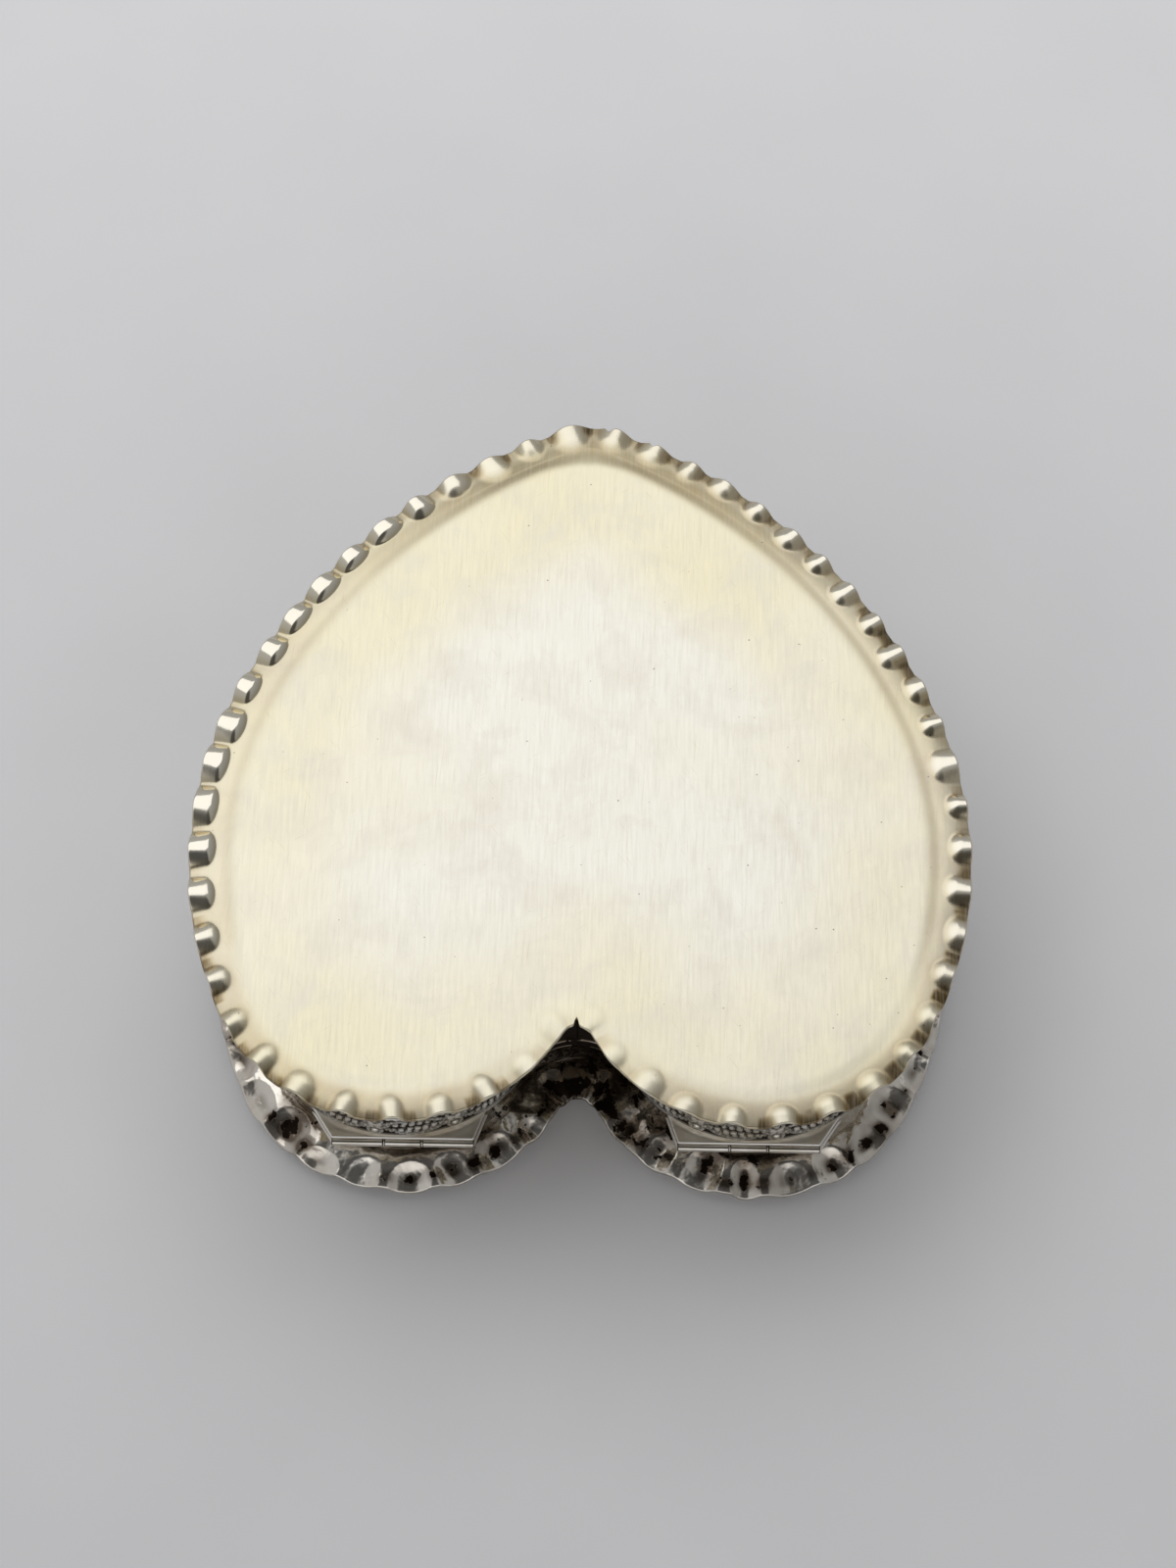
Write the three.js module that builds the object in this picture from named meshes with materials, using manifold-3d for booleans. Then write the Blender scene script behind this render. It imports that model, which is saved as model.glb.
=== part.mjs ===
// Heart-shaped silver jewelry box with crimped rims and a pair of hinges.
// It is drawn as it was photographed: turned over, lying on its lid. Millimetres, +Z up.
// The lid is at the bottom and the plain base on top. The tip of the heart points to +Y,
// and the two lobes with the hinges face -Y. Left is -X and right is +X.
import * as THREE from 'three';
import { mergeVertices } from 'three/addons/utils/BufferGeometryUtils.js';
import Module from 'manifold-3d';

const wasm = await Module();
wasm.setup();

// Plan of the heart at the edge of its rims: arcs that meet tangent.
const LOBE_RADIUS = 28;
const NOTCH_RADIUS = 2.2;
const NOTCH_TURN_DEG = 30.2; // lobe centre to notch centre, below the level
const SHOULDER_RADIUS = 66;
const SHOULDER_START_DEG = 24.2; // where a lobe runs into the shoulder, below the level
const FLANK_RADIUS = 91;
const FLANK_START_DEG = 25.2; // where the shoulder runs into the flatter flank, above the level
const TIP_RADIUS = 11;
const TIP_LEAST = 0.5; // radius left at the tip of the deepest insets

// Sheet metal and rims.
const SHEET = 0.8;
const OVERHANG = 7; // rim of the base past the face of the wall
const LID_SET_IN = 1; // rim of the lid, inside that of the base
const FLUTE_PITCH = 6.9; // along the middle of the flutes
const FLUTE_SHARE = 0.63; // how much of the overhang a flute takes
const FLUTE_HEIGHT = 1.25;
const FLUTE_WIDTH = 0.84; // of its pitch
const FIELD_RISE = 1.4; // plain field of the base above its rim

// Heights.
const LID_DEPTH = 5; // crown of the lid to its rim
const LID_SLOPE = 5.5; // width of the slope round the crown
const SKIRT_HEIGHT = 4.8;
const WALL_HEIGHT = 23;
const BEZEL_HEIGHT = 5; // inside the wall
const BEZEL_REACH = 0.6; // of the skirt height, inside the lid
const BEZEL_SHEET = 0.7;
const MOULDING_HEIGHT = 0.8;
const MOULDING_DEPTH = 0.4;

// Hinges, one at each lobe.
const HINGE_LENGTH = 21;
const HINGE_INWARD = 0.6; // middle of a hinge from the lobe centre, towards the notch
const CENTRE_KNUCKLE = 5.4;
const KNUCKLE_RADIUS = 0.7;
const PIN_RADIUS = 0.3;
const LEDGE_SHEET = 0.8;
const LEDGE_LEAST = 1.1; // ledge past the wall where the lobe comes nearest

// Lining.
const LINING = 1.2;
const PAD_EDGE = 2.2;
const PAD_CROWN = 0.9;
const PAD_DRAWN_IN = 1.1;

// Fits.
const SOLDER_GAP = 0.05;
const SEAM_GAP = 0.3;
const BEZEL_GAP = 0.25;
const HINGE_GAP = 0.3;
const KNUCKLE_GAP = 0.2;
const PIN_GAP = 0.1;
const LINING_GAP = 0.15;

// Facets.
const FLUTE_STEPS = 4;
const ARC_STEPS = [5, 16, 8, 9, 4]; // notch, lobe, shoulder, flank, tip
const ROUND_STEPS = 16;

// Levels, from the table up.
const lidLand = LID_DEPTH + SHEET;
const skirtFoot = lidLand + SOLDER_GAP;
const skirtTop = skirtFoot + SKIRT_HEIGHT;
const seam = skirtTop + SEAM_GAP / 2;
const wallFoot = skirtTop + SEAM_GAP;
const wallTop = wallFoot + WALL_HEIGHT;
const fieldUnder = wallTop + SOLDER_GAP;
const ledgeOff = KNUCKLE_RADIUS + HINGE_GAP; // seam to the near face of a ledge
const mouldingFoot = seam + ledgeOff + LEDGE_SHEET + SOLDER_GAP;

// Insets from the edge of the rims.
const wallIn = OVERHANG + SHEET;
const bezelOut = wallIn + BEZEL_GAP;
const fluteEnd = OVERHANG * FLUTE_SHARE;
const landEnd = bezelOut + BEZEL_SHEET;
const crownEdge = landEnd + LID_SLOPE;

// Centres of the arcs of the right half, with the middle of the whole heart at the origin.
const notchTurn = THREE.MathUtils.degToRad(NOTCH_TURN_DEG);
const shoulderStart = THREE.MathUtils.degToRad(SHOULDER_START_DEG);
const flankStart = THREE.MathUtils.degToRad(FLANK_START_DEG);
const lobe = new THREE.Vector2((LOBE_RADIUS + NOTCH_RADIUS) * Math.cos(notchTurn), 0);
const notch = new THREE.Vector2(0, -(LOBE_RADIUS + NOTCH_RADIUS) * Math.sin(notchTurn));
const shoulder = new THREE.Vector2(-Math.cos(shoulderStart), Math.sin(shoulderStart))
  .multiplyScalar(SHOULDER_RADIUS - LOBE_RADIUS)
  .add(lobe);
const flank = new THREE.Vector2(-Math.cos(flankStart), -Math.sin(flankStart))
  .multiplyScalar(FLANK_RADIUS - SHOULDER_RADIUS)
  .add(shoulder);
const tipReach = FLANK_RADIUS - TIP_RADIUS;
const tipEnd = flank.y + Math.sqrt(tipReach ** 2 - flank.x ** 2) + TIP_RADIUS;
const middle = (tipEnd + lobe.y - LOBE_RADIUS) / 2;
for (const centre of [lobe, notch, shoulder, flank]) centre.y -= middle;

// The arcs of the right half, from the notch to the tip, set in from the rim's edge.
function arcsAt(inset) {
  const tipRadius = Math.max(TIP_RADIUS - inset, TIP_LEAST);
  const reach = FLANK_RADIUS - inset - tipRadius;
  const tip = new THREE.Vector2(0, flank.y + Math.sqrt(reach ** 2 - flank.x ** 2));
  const turn = Math.atan2(tip.y - flank.y, tip.x - flank.x);
  const lobeStart = notchTurn - Math.PI;
  return [
    { centre: notch, radius: NOTCH_RADIUS + inset, from: Math.PI / 2, to: notchTurn },
    { centre: lobe, radius: LOBE_RADIUS - inset, from: lobeStart, to: -shoulderStart },
    { centre: shoulder, radius: SHOULDER_RADIUS - inset, from: -shoulderStart, to: flankStart },
    { centre: flank, radius: FLANK_RADIUS - inset, from: flankStart, to: turn },
    { centre: tip, radius: tipRadius, from: turn, to: Math.PI / 2 },
  ];
}

const rimArcs = arcsAt(fluteEnd / 2);
const arcLengths = rimArcs.map((arc) => Math.abs(arc.to - arc.from) * arc.radius);
const halfLength = arcLengths.reduce((sum, length) => sum + length, 0);
const flutes = Math.round(halfLength / FLUTE_PITCH); // on each half

// Stations along the right half, each as an arc and how far along it.
const plainStations = [{ arc: 0, along: 0 }];
ARC_STEPS.forEach((steps, arc) => {
  for (let i = 1; i <= steps; i++) plainStations.push({ arc, along: i / steps });
});
const rimStations = [];
for (let i = 0; i <= flutes * FLUTE_STEPS; i++) {
  let rest = (halfLength * i) / (flutes * FLUTE_STEPS);
  let arc = 0;
  while (arc < arcLengths.length - 1 && rest > arcLengths[arc]) rest -= arcLengths[arc++];
  rimStations.push({ arc, along: Math.min(rest / arcLengths[arc], 1) });
}

// The right half of the outline as points, from the notch to the tip.
function halfOutline(inset, stations = plainStations) {
  const arcs = arcsAt(inset);
  return stations.map(({ arc, along }) => {
    const { centre, radius, from, to } = arcs[arc];
    const angle = from + (to - from) * along;
    const x = centre.x + radius * Math.cos(angle);
    return new THREE.Vector2(x, centre.y + radius * Math.sin(angle));
  });
}

// The whole outline, counter-clockwise from the notch.
function outline(inset, stations = plainStations) {
  const right = halfOutline(inset, stations);
  right[0].x = 0;
  right.at(-1).x = 0;
  const left = right.slice(1, -1).reverse();
  return [...right, ...left.map((p) => new THREE.Vector2(-p.x, p.y))];
}

// One half of the outline, kept off the middle by a solder gap. It runs counter-clockwise.
function sideOutline(inset, hand) {
  const right = halfOutline(inset);
  for (const p of right) p.x = Math.max(p.x, SOLDER_GAP / 2);
  if (hand > 0) return right;
  return right.reverse().map((p) => new THREE.Vector2(-p.x, p.y));
}

const raise = (points, z) => points.map((p) => new THREE.Vector3(p.x, p.y, z));

// Skins a list of rings that run outward below, upward outside and inward above.
function skin(rings, { joined = false, open = false } = {}) {
  const count = rings[0].length;
  const index = [];
  const rows = joined ? rings.length : rings.length - 1;
  for (let r = 0; r < rows; r++) {
    const a = r * count;
    const b = ((r + 1) % rings.length) * count;
    for (let j = 0; j < (open ? count - 1 : count); j++) {
      const k = (j + 1) % count;
      index.push(a + j, a + k, b + k, a + j, b + k, b + j);
    }
  }
  if (open) {
    for (let r = 1; r < rings.length - 1; r++) {
      index.push(0, r * count, (r + 1) * count);
      index.push(count - 1, (r + 2) * count - 1, (r + 1) * count - 1);
    }
  }
  if (!joined) {
    const last = (rings.length - 1) * count;
    for (const [i, j, k] of THREE.ShapeUtils.triangulateShape(rings[0], [])) index.push(i, k, j);
    for (const [i, j, k] of THREE.ShapeUtils.triangulateShape(rings.at(-1), [])) {
      index.push(last + i, last + j, last + k);
    }
  }
  const geometry = new THREE.BufferGeometry().setFromPoints(rings.flat());
  geometry.setIndex(index);
  return geometry;
}

// A band right round the heart, from corners that are [inset, height].
function band(corners) {
  return skin(corners.map(([inset, z]) => raise(outline(inset), z)), { joined: true });
}

// A band round one half of the heart.
function halfBand(corners, hand) {
  const rings = corners.map(([inset, z]) => raise(sideOutline(inset, hand), z));
  return skin(rings, { joined: true, open: true });
}

const strip = (outer, inner, low, high) => [
  [inner, low],
  [outer, low],
  [outer, high],
  [inner, high],
];

// A heart-shaped solid from the [inset, height] of its outside, from below to above.
const heartSolid = (steps) => skin(steps.map(([inset, z]) => raise(outline(inset), z)));

// Height of a flute's arch across its pitch, where 0 is the valley and 0.5 the crest.
function arch(phase) {
  const across = Math.abs(phase - 0.5) / (FLUTE_WIDTH / 2);
  return across < 1 ? Math.sqrt(1 - across ** 2) : 0;
}

// Sheet with a crimped rim. Steps are [inset, height, flute share] of its lower face,
// from the edge in. The flutes rise where their height is positive, and sink where negative.
function crimpedSheet(steps, fluteHeight) {
  const lower = steps.map(([inset, z, share]) =>
    outline(inset, rimStations).map((p, i) => {
      const rise = fluteHeight * share * arch((i % FLUTE_STEPS) / FLUTE_STEPS);
      return new THREE.Vector3(p.x, p.y, z + rise);
    }),
  );
  const lift = new THREE.Vector3(0, 0, SHEET);
  const upper = lower.map((ring) => ring.map((p) => p.clone().add(lift)));
  return skin([...lower.reverse(), ...upper]);
}

// Closed indexed geometry to a solid for boolean work, and back.
function toSolid(geometry) {
  const bare = new THREE.BufferGeometry();
  bare.setAttribute('position', geometry.getAttribute('position'));
  bare.setIndex(geometry.getIndex());
  const merged = mergeVertices(bare, 1e-4);
  return new wasm.Manifold(
    new wasm.Mesh({
      numProp: 3,
      vertProperties: new Float32Array(merged.getAttribute('position').array),
      triVerts: new Uint32Array(merged.getIndex().array),
    }),
  );
}

function fromSolid(solid) {
  const mesh = solid.getMesh();
  const geometry = new THREE.BufferGeometry();
  geometry.setAttribute('position', new THREE.BufferAttribute(mesh.vertProperties, 3));
  geometry.setIndex(new THREE.BufferAttribute(mesh.triVerts, 1));
  return geometry;
}

// Finishes.
const finish = (color, metalness, roughness) =>
  new THREE.MeshStandardMaterial({ color, metalness, roughness });
const satinSilver = finish(0xe8e2cd, 1, 0.38);
const polishedSilver = finish(0xd3d0c8, 1, 0.18);
const chasedSilver = finish(0x8d877d, 1, 0.3);
const velvet = finish(0x5a1524, 0, 0.95);

const group = new THREE.Group();
group.name = 'heart_box';

function add(name, geometry, material) {
  geometry.computeVertexNormals();
  const mesh = new THREE.Mesh(geometry, material);
  mesh.name = name;
  group.add(mesh);
}

// The lid's sheet: crimped rim, land under the skirt, slope, flat crown on the table.
const lidFlute = (OVERHANG - LID_SET_IN) * FLUTE_SHARE;
const lidSteps = [
  [LID_SET_IN, LID_DEPTH, 1],
  [LID_SET_IN + lidFlute * 0.5, LID_DEPTH, 1],
  [LID_SET_IN + lidFlute, LID_DEPTH, 0],
  [landEnd, LID_DEPTH, 0],
  [crownEdge, 0, 0],
];
add('lid_panel', crimpedSheet(lidSteps, -FLUTE_HEIGHT), polishedSilver);
add('lid_skirt', band(strip(OVERHANG, wallIn, skirtFoot, skirtTop)), polishedSilver);

// The base's sheet: crimped rim, then the plain field raised a little above it.
const baseSteps = [
  [0, fieldUnder - FIELD_RISE, 1],
  [fluteEnd * 0.5, fieldUnder - FIELD_RISE, 1],
  [fluteEnd, fieldUnder - FIELD_RISE, 0],
  [(fluteEnd + OVERHANG * 2) / 3, fieldUnder, 0],
];
add('base_plate', crimpedSheet(baseSteps, FLUTE_HEIGHT), satinSilver);

// The wall is bent in two halves that meet at the notch and at the tip.
const wallSection = strip(OVERHANG, wallIn, wallFoot, wallTop);
add('wall_left', halfBand(wallSection, -1), chasedSilver);
add('wall_right', halfBand(wallSection, 1), chasedSilver);

const mouldingIn = OVERHANG - SOLDER_GAP;
const mouldingOut = mouldingIn - MOULDING_DEPTH;
const mouldingSection = [
  [mouldingIn, mouldingFoot],
  [mouldingOut, mouldingFoot + MOULDING_HEIGHT * 0.25],
  [mouldingOut, mouldingFoot + MOULDING_HEIGHT * 0.75],
  [mouldingIn, mouldingFoot + MOULDING_HEIGHT],
];
add('mouth_moulding', band(mouldingSection), polishedSilver);

// The bezel is soldered inside the wall and reaches down into the lid.
const bezelFoot = seam - SKIRT_HEIGHT * BEZEL_REACH;
const bezelTop = seam + BEZEL_HEIGHT;
add('bezel', band(strip(bezelOut, landEnd, bezelFoot, bezelTop)), polishedSilver);

// Hinges: a straight ledge on each part, and three knuckles on a pin at the seam between the ledges.
const lobeEnd = lobe.y - LOBE_RADIUS + OVERHANG;
const ledgeEdge = lobeEnd - LEDGE_LEAST;
const hingeY = lobeEnd - HINGE_GAP - KNUCKLE_RADIUS;
const heartShape = new THREE.Shape(outline(OVERHANG - SOLDER_GAP));

function ledge(centreX, low) {
  const depth = lobe.y - ledgeEdge;
  const plate = new THREE.BoxGeometry(HINGE_LENGTH, depth, LEDGE_SHEET);
  plate.translate(centreX, ledgeEdge + depth / 2, low + LEDGE_SHEET / 2);
  const core = new THREE.ExtrudeGeometry(heartShape, { depth: LEDGE_SHEET * 3, bevelEnabled: false });
  core.translate(0, 0, low - LEDGE_SHEET);
  return fromSolid(toSolid(plate).subtract(toSolid(core)));
}

function knuckle(from, to) {
  const ring = new THREE.Shape().absarc(0, 0, KNUCKLE_RADIUS, 0, Math.PI * 2);
  ring.holes.push(new THREE.Path().absarc(0, 0, PIN_RADIUS + PIN_GAP, 0, Math.PI * 2, true));
  const options = { depth: to - from, bevelEnabled: false, curveSegments: ROUND_STEPS / 2 };
  const tube = new THREE.ExtrudeGeometry(ring, options).rotateY(Math.PI / 2);
  return tube.translate(from, hingeY, seam);
}

function pin(centreX) {
  const rod = new THREE.CylinderGeometry(PIN_RADIUS, PIN_RADIUS, HINGE_LENGTH, ROUND_STEPS);
  return rod.rotateZ(Math.PI / 2).translate(centreX, hingeY, seam);
}

for (const [name, hand] of [['left', -1], ['right', 1]]) {
  const x = hand * (lobe.x - HINGE_INWARD);
  const centre = CENTRE_KNUCKLE / 2;
  const near = centre + KNUCKLE_GAP;
  const far = HINGE_LENGTH / 2;
  const low = knuckle(x - far, x - near);
  const high = knuckle(x + near, x + far);
  add(`lid_ledge_${name}`, ledge(x, seam - ledgeOff - LEDGE_SHEET), polishedSilver);
  add(`lid_knuckle_${name}`, knuckle(x - centre, x + centre), polishedSilver);
  add(`hinge_pin_${name}`, pin(x), polishedSilver);
  add(`box_ledge_${name}`, ledge(x, seam + ledgeOff), polishedSilver);
  add(`box_knuckle_${name}_inner`, hand > 0 ? low : high, polishedSilver);
  add(`box_knuckle_${name}_outer`, hand > 0 ? high : low, polishedSilver);
}

// Lining: padded boards on the lid and on the base, and a strip round the wall.
const lidPadIn = crownEdge + LINING_GAP;
const lidPadFoot = SHEET + SOLDER_GAP;
const lidPad = [
  [lidPadIn + PAD_DRAWN_IN / 2, lidPadFoot],
  [lidPadIn, lidPadFoot + PAD_EDGE / 2],
  [lidPadIn + PAD_DRAWN_IN, lidPadFoot + PAD_EDGE],
  [lidPadIn + PAD_DRAWN_IN * 5, lidPadFoot + PAD_EDGE + PAD_CROWN],
];
add('lid_pad', heartSolid(lidPad), velvet);

const basePadIn = wallIn + LINING_GAP;
const basePadTop = fieldUnder - SOLDER_GAP;
const basePadEdge = basePadTop - PAD_EDGE;
const basePad = [
  [basePadIn + PAD_DRAWN_IN * 5, basePadEdge - PAD_CROWN],
  [basePadIn + PAD_DRAWN_IN, basePadEdge],
  [basePadIn, basePadTop - PAD_EDGE / 2],
  [basePadIn + PAD_DRAWN_IN / 2, basePadTop],
];
add('base_pad', heartSolid(basePad), velvet);

const liningLow = bezelTop + LINING_GAP;
const liningHigh = basePadEdge - PAD_CROWN - LINING_GAP;
const liningSection = strip(basePadIn, basePadIn + LINING, liningLow, liningHigh);
add('wall_lining', band(liningSection), velvet);

export default group;
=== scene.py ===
"""A heart-shaped silver jewellery box, lying closed on its lid, dressed over its CAD frame.

Sizes are in millimetres, and turn to metres when a mesh is made. The lid lies on the table, the
box stands on it upside down, and the hinges face the camera.
"""
import logging
import math
from collections.abc import Sequence
from dataclasses import dataclass
from enum import Enum

import bmesh
import bpy
import numpy as np
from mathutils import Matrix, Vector


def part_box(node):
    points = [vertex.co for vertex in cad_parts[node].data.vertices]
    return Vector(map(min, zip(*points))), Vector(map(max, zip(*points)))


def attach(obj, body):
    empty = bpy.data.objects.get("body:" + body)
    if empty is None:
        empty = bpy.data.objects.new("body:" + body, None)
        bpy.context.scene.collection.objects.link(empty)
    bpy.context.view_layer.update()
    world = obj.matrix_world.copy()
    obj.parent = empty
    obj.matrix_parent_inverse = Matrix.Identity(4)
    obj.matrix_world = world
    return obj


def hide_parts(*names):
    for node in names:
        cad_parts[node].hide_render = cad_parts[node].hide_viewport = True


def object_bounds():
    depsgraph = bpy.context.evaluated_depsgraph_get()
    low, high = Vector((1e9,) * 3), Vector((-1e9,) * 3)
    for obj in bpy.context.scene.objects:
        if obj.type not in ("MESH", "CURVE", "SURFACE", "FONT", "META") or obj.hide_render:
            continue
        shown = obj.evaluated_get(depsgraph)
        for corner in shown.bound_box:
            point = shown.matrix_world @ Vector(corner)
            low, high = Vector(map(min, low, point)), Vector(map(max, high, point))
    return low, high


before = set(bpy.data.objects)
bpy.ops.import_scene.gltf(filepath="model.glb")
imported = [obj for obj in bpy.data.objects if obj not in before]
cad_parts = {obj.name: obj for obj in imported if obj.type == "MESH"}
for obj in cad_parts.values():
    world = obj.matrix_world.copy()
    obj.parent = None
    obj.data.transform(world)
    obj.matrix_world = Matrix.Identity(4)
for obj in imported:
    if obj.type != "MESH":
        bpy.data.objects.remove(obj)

CAD_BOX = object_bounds()
MM = 0.001
PHOTO_WIDTH, PHOTO_HEIGHT = 1200, 1600
# How far the foot's flutes have slid on from an even spacing, in flutes, as they lie in the photograph.
PHOTO_SLIDE = ((0, 0.1), (1.3, 0.2), (3.5, 0.41), (13.5, 0.45), (16.2, 0.47), (20, 0.7), (23, 0.86),
               (25.6, 1.05), (28, 1.1), (32, 1.2), (36, 1.3), (39, 1.27), (44, 1.15), (48, 1.05),
               (51, 1.1), (54, 1.1))
# The bands' closed sections: corners at an inset from the plan and a height.
SKIRT = ((7.0, 5.87), (7.8, 5.87), (7.8, 10.63), (6.95, 10.63), (6.95, 10.0), (7.2, 9.2), (7.22, 7.6),
         (7.05, 6.4))
REED = ((6.94, 12.67), (6.94, 13.43), (6.8, 13.4), (6.62, 13.25), (6.56, 13.05), (6.62, 12.85), (6.8, 12.7))
LIP = ((8.05, 7.94), (8.75, 7.94), (8.75, 15.78), (8.05, 15.78))

Array = np.ndarray
log = logging.getLogger("heart_box")


class Body(Enum):
    """The two bodies that the hinge joins."""

    LID = "lid"
    BOX = "box"


class Slot(Enum):
    """The record's material slots."""

    SATIN = "satin_silver"
    POLISHED = "polished_silver"
    CHASED = "chased_silver"
    VELVET = "velvet"


class Hand(Enum):
    """A side of the box, as the sign of its x."""

    LEFT = -1
    RIGHT = 1


def linear(code: str) -> tuple[float, float, float, float]:
    """Turns an sRGB hex colour to linear light.

    Args:
        code: Six hex digits.

    Returns:
        Red, green, blue and a full alpha.
    """
    parts = (int(code[i:i + 2], 16) / 255 for i in (0, 2, 4))
    red, green, blue = (p / 12.92 if p <= 0.04045 else ((p + 0.055) / 1.055) ** 2.4 for p in parts)
    return red, green, blue, 1.0


def add_node(tree: bpy.types.NodeTree, kind: str, settings: dict | None = None,
             links: dict | None = None) -> bpy.types.Node:
    """Adds a node, with its settings and links.

    Args:
        tree: The node tree.
        kind: The node's type, without the word ShaderNode.
        settings: Values by the name of a property, or by an input's name or number.
        links: Output sockets by the name or number of the input that they go to.

    Returns:
        The new node.
    """
    node = tree.nodes.new("ShaderNode" + kind)
    for key, value in (settings or {}).items():
        if isinstance(key, str) and hasattr(node, key):
            setattr(node, key, value)
        else:
            node.inputs[key].default_value = value
    for key, socket in (links or {}).items():
        tree.links.new(socket, node.inputs[key])
    return node


def start_finish(name: str) -> tuple[bpy.types.Material, bpy.types.NodeTree, bpy.types.Node,
                                     bpy.types.NodeSocket]:
    """Starts a material, with the shader that Blender gives it.

    Args:
        name: Its name.

    Returns:
        The material, its node tree, its shader, and the socket of the piece's own coordinates.
    """
    material = bpy.data.materials.new(name)
    material.use_nodes = True
    tree = material.node_tree
    place = add_node(tree, "TexCoord").outputs["Object"]
    return material, tree, tree.nodes["Principled BSDF"], place


def smooth(low: float, high: float, value: Array) -> Array:
    """Rises smoothly from 0 at low to 1 at high.

    Args:
        low: Where the rise starts, or where it ends if it is above high.
        high: Where it reaches 1.
        value: The points to give it for.

    Returns:
        A number from 0 to 1 for each.
    """
    t = np.clip((value - low) / (high - low), 0, 1)
    return t * t * (3 - 2 * t)


def between(places: tuple[float, float, float, float], value: Array) -> Array:
    """Rises smoothly from 0 to 1 between two places, and falls again between two further on.

    Args:
        places: The four places, in order.
        value: The points to give it for.

    Returns:
        A number from 0 to 1 for each.
    """
    start, full, fade, end = places
    return smooth(start, full, value) * smooth(end, fade, value)


def ripple(points: Array, wavelength: float, seed: int, waves: int = 28) -> Array:
    """A soft, seeded unevenness, as a sum of plane waves.

    Args:
        points: Places, with their coordinates last.
        wavelength: The middle wavelength, in the points' unit.
        seed: The seed of the waves.
        waves: How many there are.

    Returns:
        A value for each point, mostly from -1 to 1.
    """
    rng = np.random.default_rng(seed)
    way = rng.normal(size=(waves, points.shape[-1]))
    way /= np.linalg.norm(way, axis=1, keepdims=True)
    way *= (2 * math.pi / (wavelength * rng.uniform(0.7, 1.6, waves)))[:, None]
    phase = rng.uniform(0, 2 * math.pi, waves)
    return np.sin(points @ way.T + phase).sum(-1) / math.sqrt(waves)


def new_object(name: str, points: Array, faces: list, masks: dict[str, Array]) -> bpy.types.Object:
    """Makes a smooth mesh object with its faces turned outward.

    Args:
        name: The piece's name.
        points: Vertices in millimetres.
        faces: Vertex numbers of each face.
        masks: A value for each vertex, by the mask's name, for the finish to read.

    Returns:
        The object, linked to the scene.
    """
    mesh = bpy.data.meshes.new(name)
    mesh.from_pydata((points * MM).tolist(), [], faces)
    shape = bmesh.new()
    shape.from_mesh(mesh)
    bmesh.ops.recalc_face_normals(shape, faces=shape.faces)
    shape.to_mesh(mesh)
    shape.free()
    for key, values in masks.items():
        layer = mesh.attributes.new(key, "FLOAT", "POINT")
        layer.data.foreach_set("value", np.ascontiguousarray(values, dtype=np.float32))
    mesh.shade_smooth()
    piece = bpy.data.objects.new(name, mesh)
    bpy.context.scene.collection.objects.link(piece)
    return piece


def skin(name: str, rings: Array, joined: bool = False, open_ends: bool = False,
         masks: dict[str, Array] | None = None) -> bpy.types.Object:
    """Skins rows of points into one closed mesh.

    Args:
        name: The piece's name.
        rings: Points in millimetres, as rows by columns by 3.
        joined: Whether the last row joins the first. Otherwise each end row closes on its middle.
        open_ends: Whether the columns stop at flat ends, as on a strip, instead of running round.
        masks: Rows by columns of values, by name.

    Returns:
        The object.
    """
    rows, columns = rings.shape[:2]
    points = rings.reshape(-1, 3)
    masks = {key: value.reshape(-1) for key, value in (masks or {}).items()}
    row, column = np.meshgrid(np.arange(rows if joined else rows - 1),
                              np.arange(columns - 1 if open_ends else columns), indexing="ij")
    below, after = (row + 1) % rows, (column + 1) % columns
    quads = np.stack([row * columns + column, row * columns + after,
                      below * columns + after, below * columns + column], -1)
    faces = quads.reshape(-1, 4).tolist()
    if open_ends:
        faces += [[r * columns + c for r in range(rows)] for c in (0, columns - 1)]
    elif not joined:
        for end in (0, rows - 1):
            middle = len(points)
            edge = np.arange(end * columns, (end + 1) * columns)
            points = np.vstack([points, rings[end].mean(0)])
            masks = {key: np.append(value, value[edge].mean()) for key, value in masks.items()}
            faces += np.stack([edge, np.roll(edge, -1), np.full(columns, middle)], -1).tolist()
    return new_object(name, points, faces, masks)


def dress(piece: bpy.types.Object, finish: bpy.types.Material, body: Body, slot: Slot,
          *nodes: str) -> bpy.types.Object:
    """Gives a piece its finish, its body and the CAD nodes that it stands for.

    Args:
        piece: The piece.
        finish: Its material.
        body: The body that it rides on.
        slot: The record's slot for its finish. It is not used.
        nodes: The CAD nodes that it replaces.

    Returns:
        The same piece.
    """
    piece.data.materials.clear()
    piece.data.materials.append(finish)
    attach(piece, body.value)
    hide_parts(*nodes)
    log.info("%s rides on %s, %d faces, %s", piece.name, body.value, len(piece.data.polygons), finish.name)
    return piece


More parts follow.
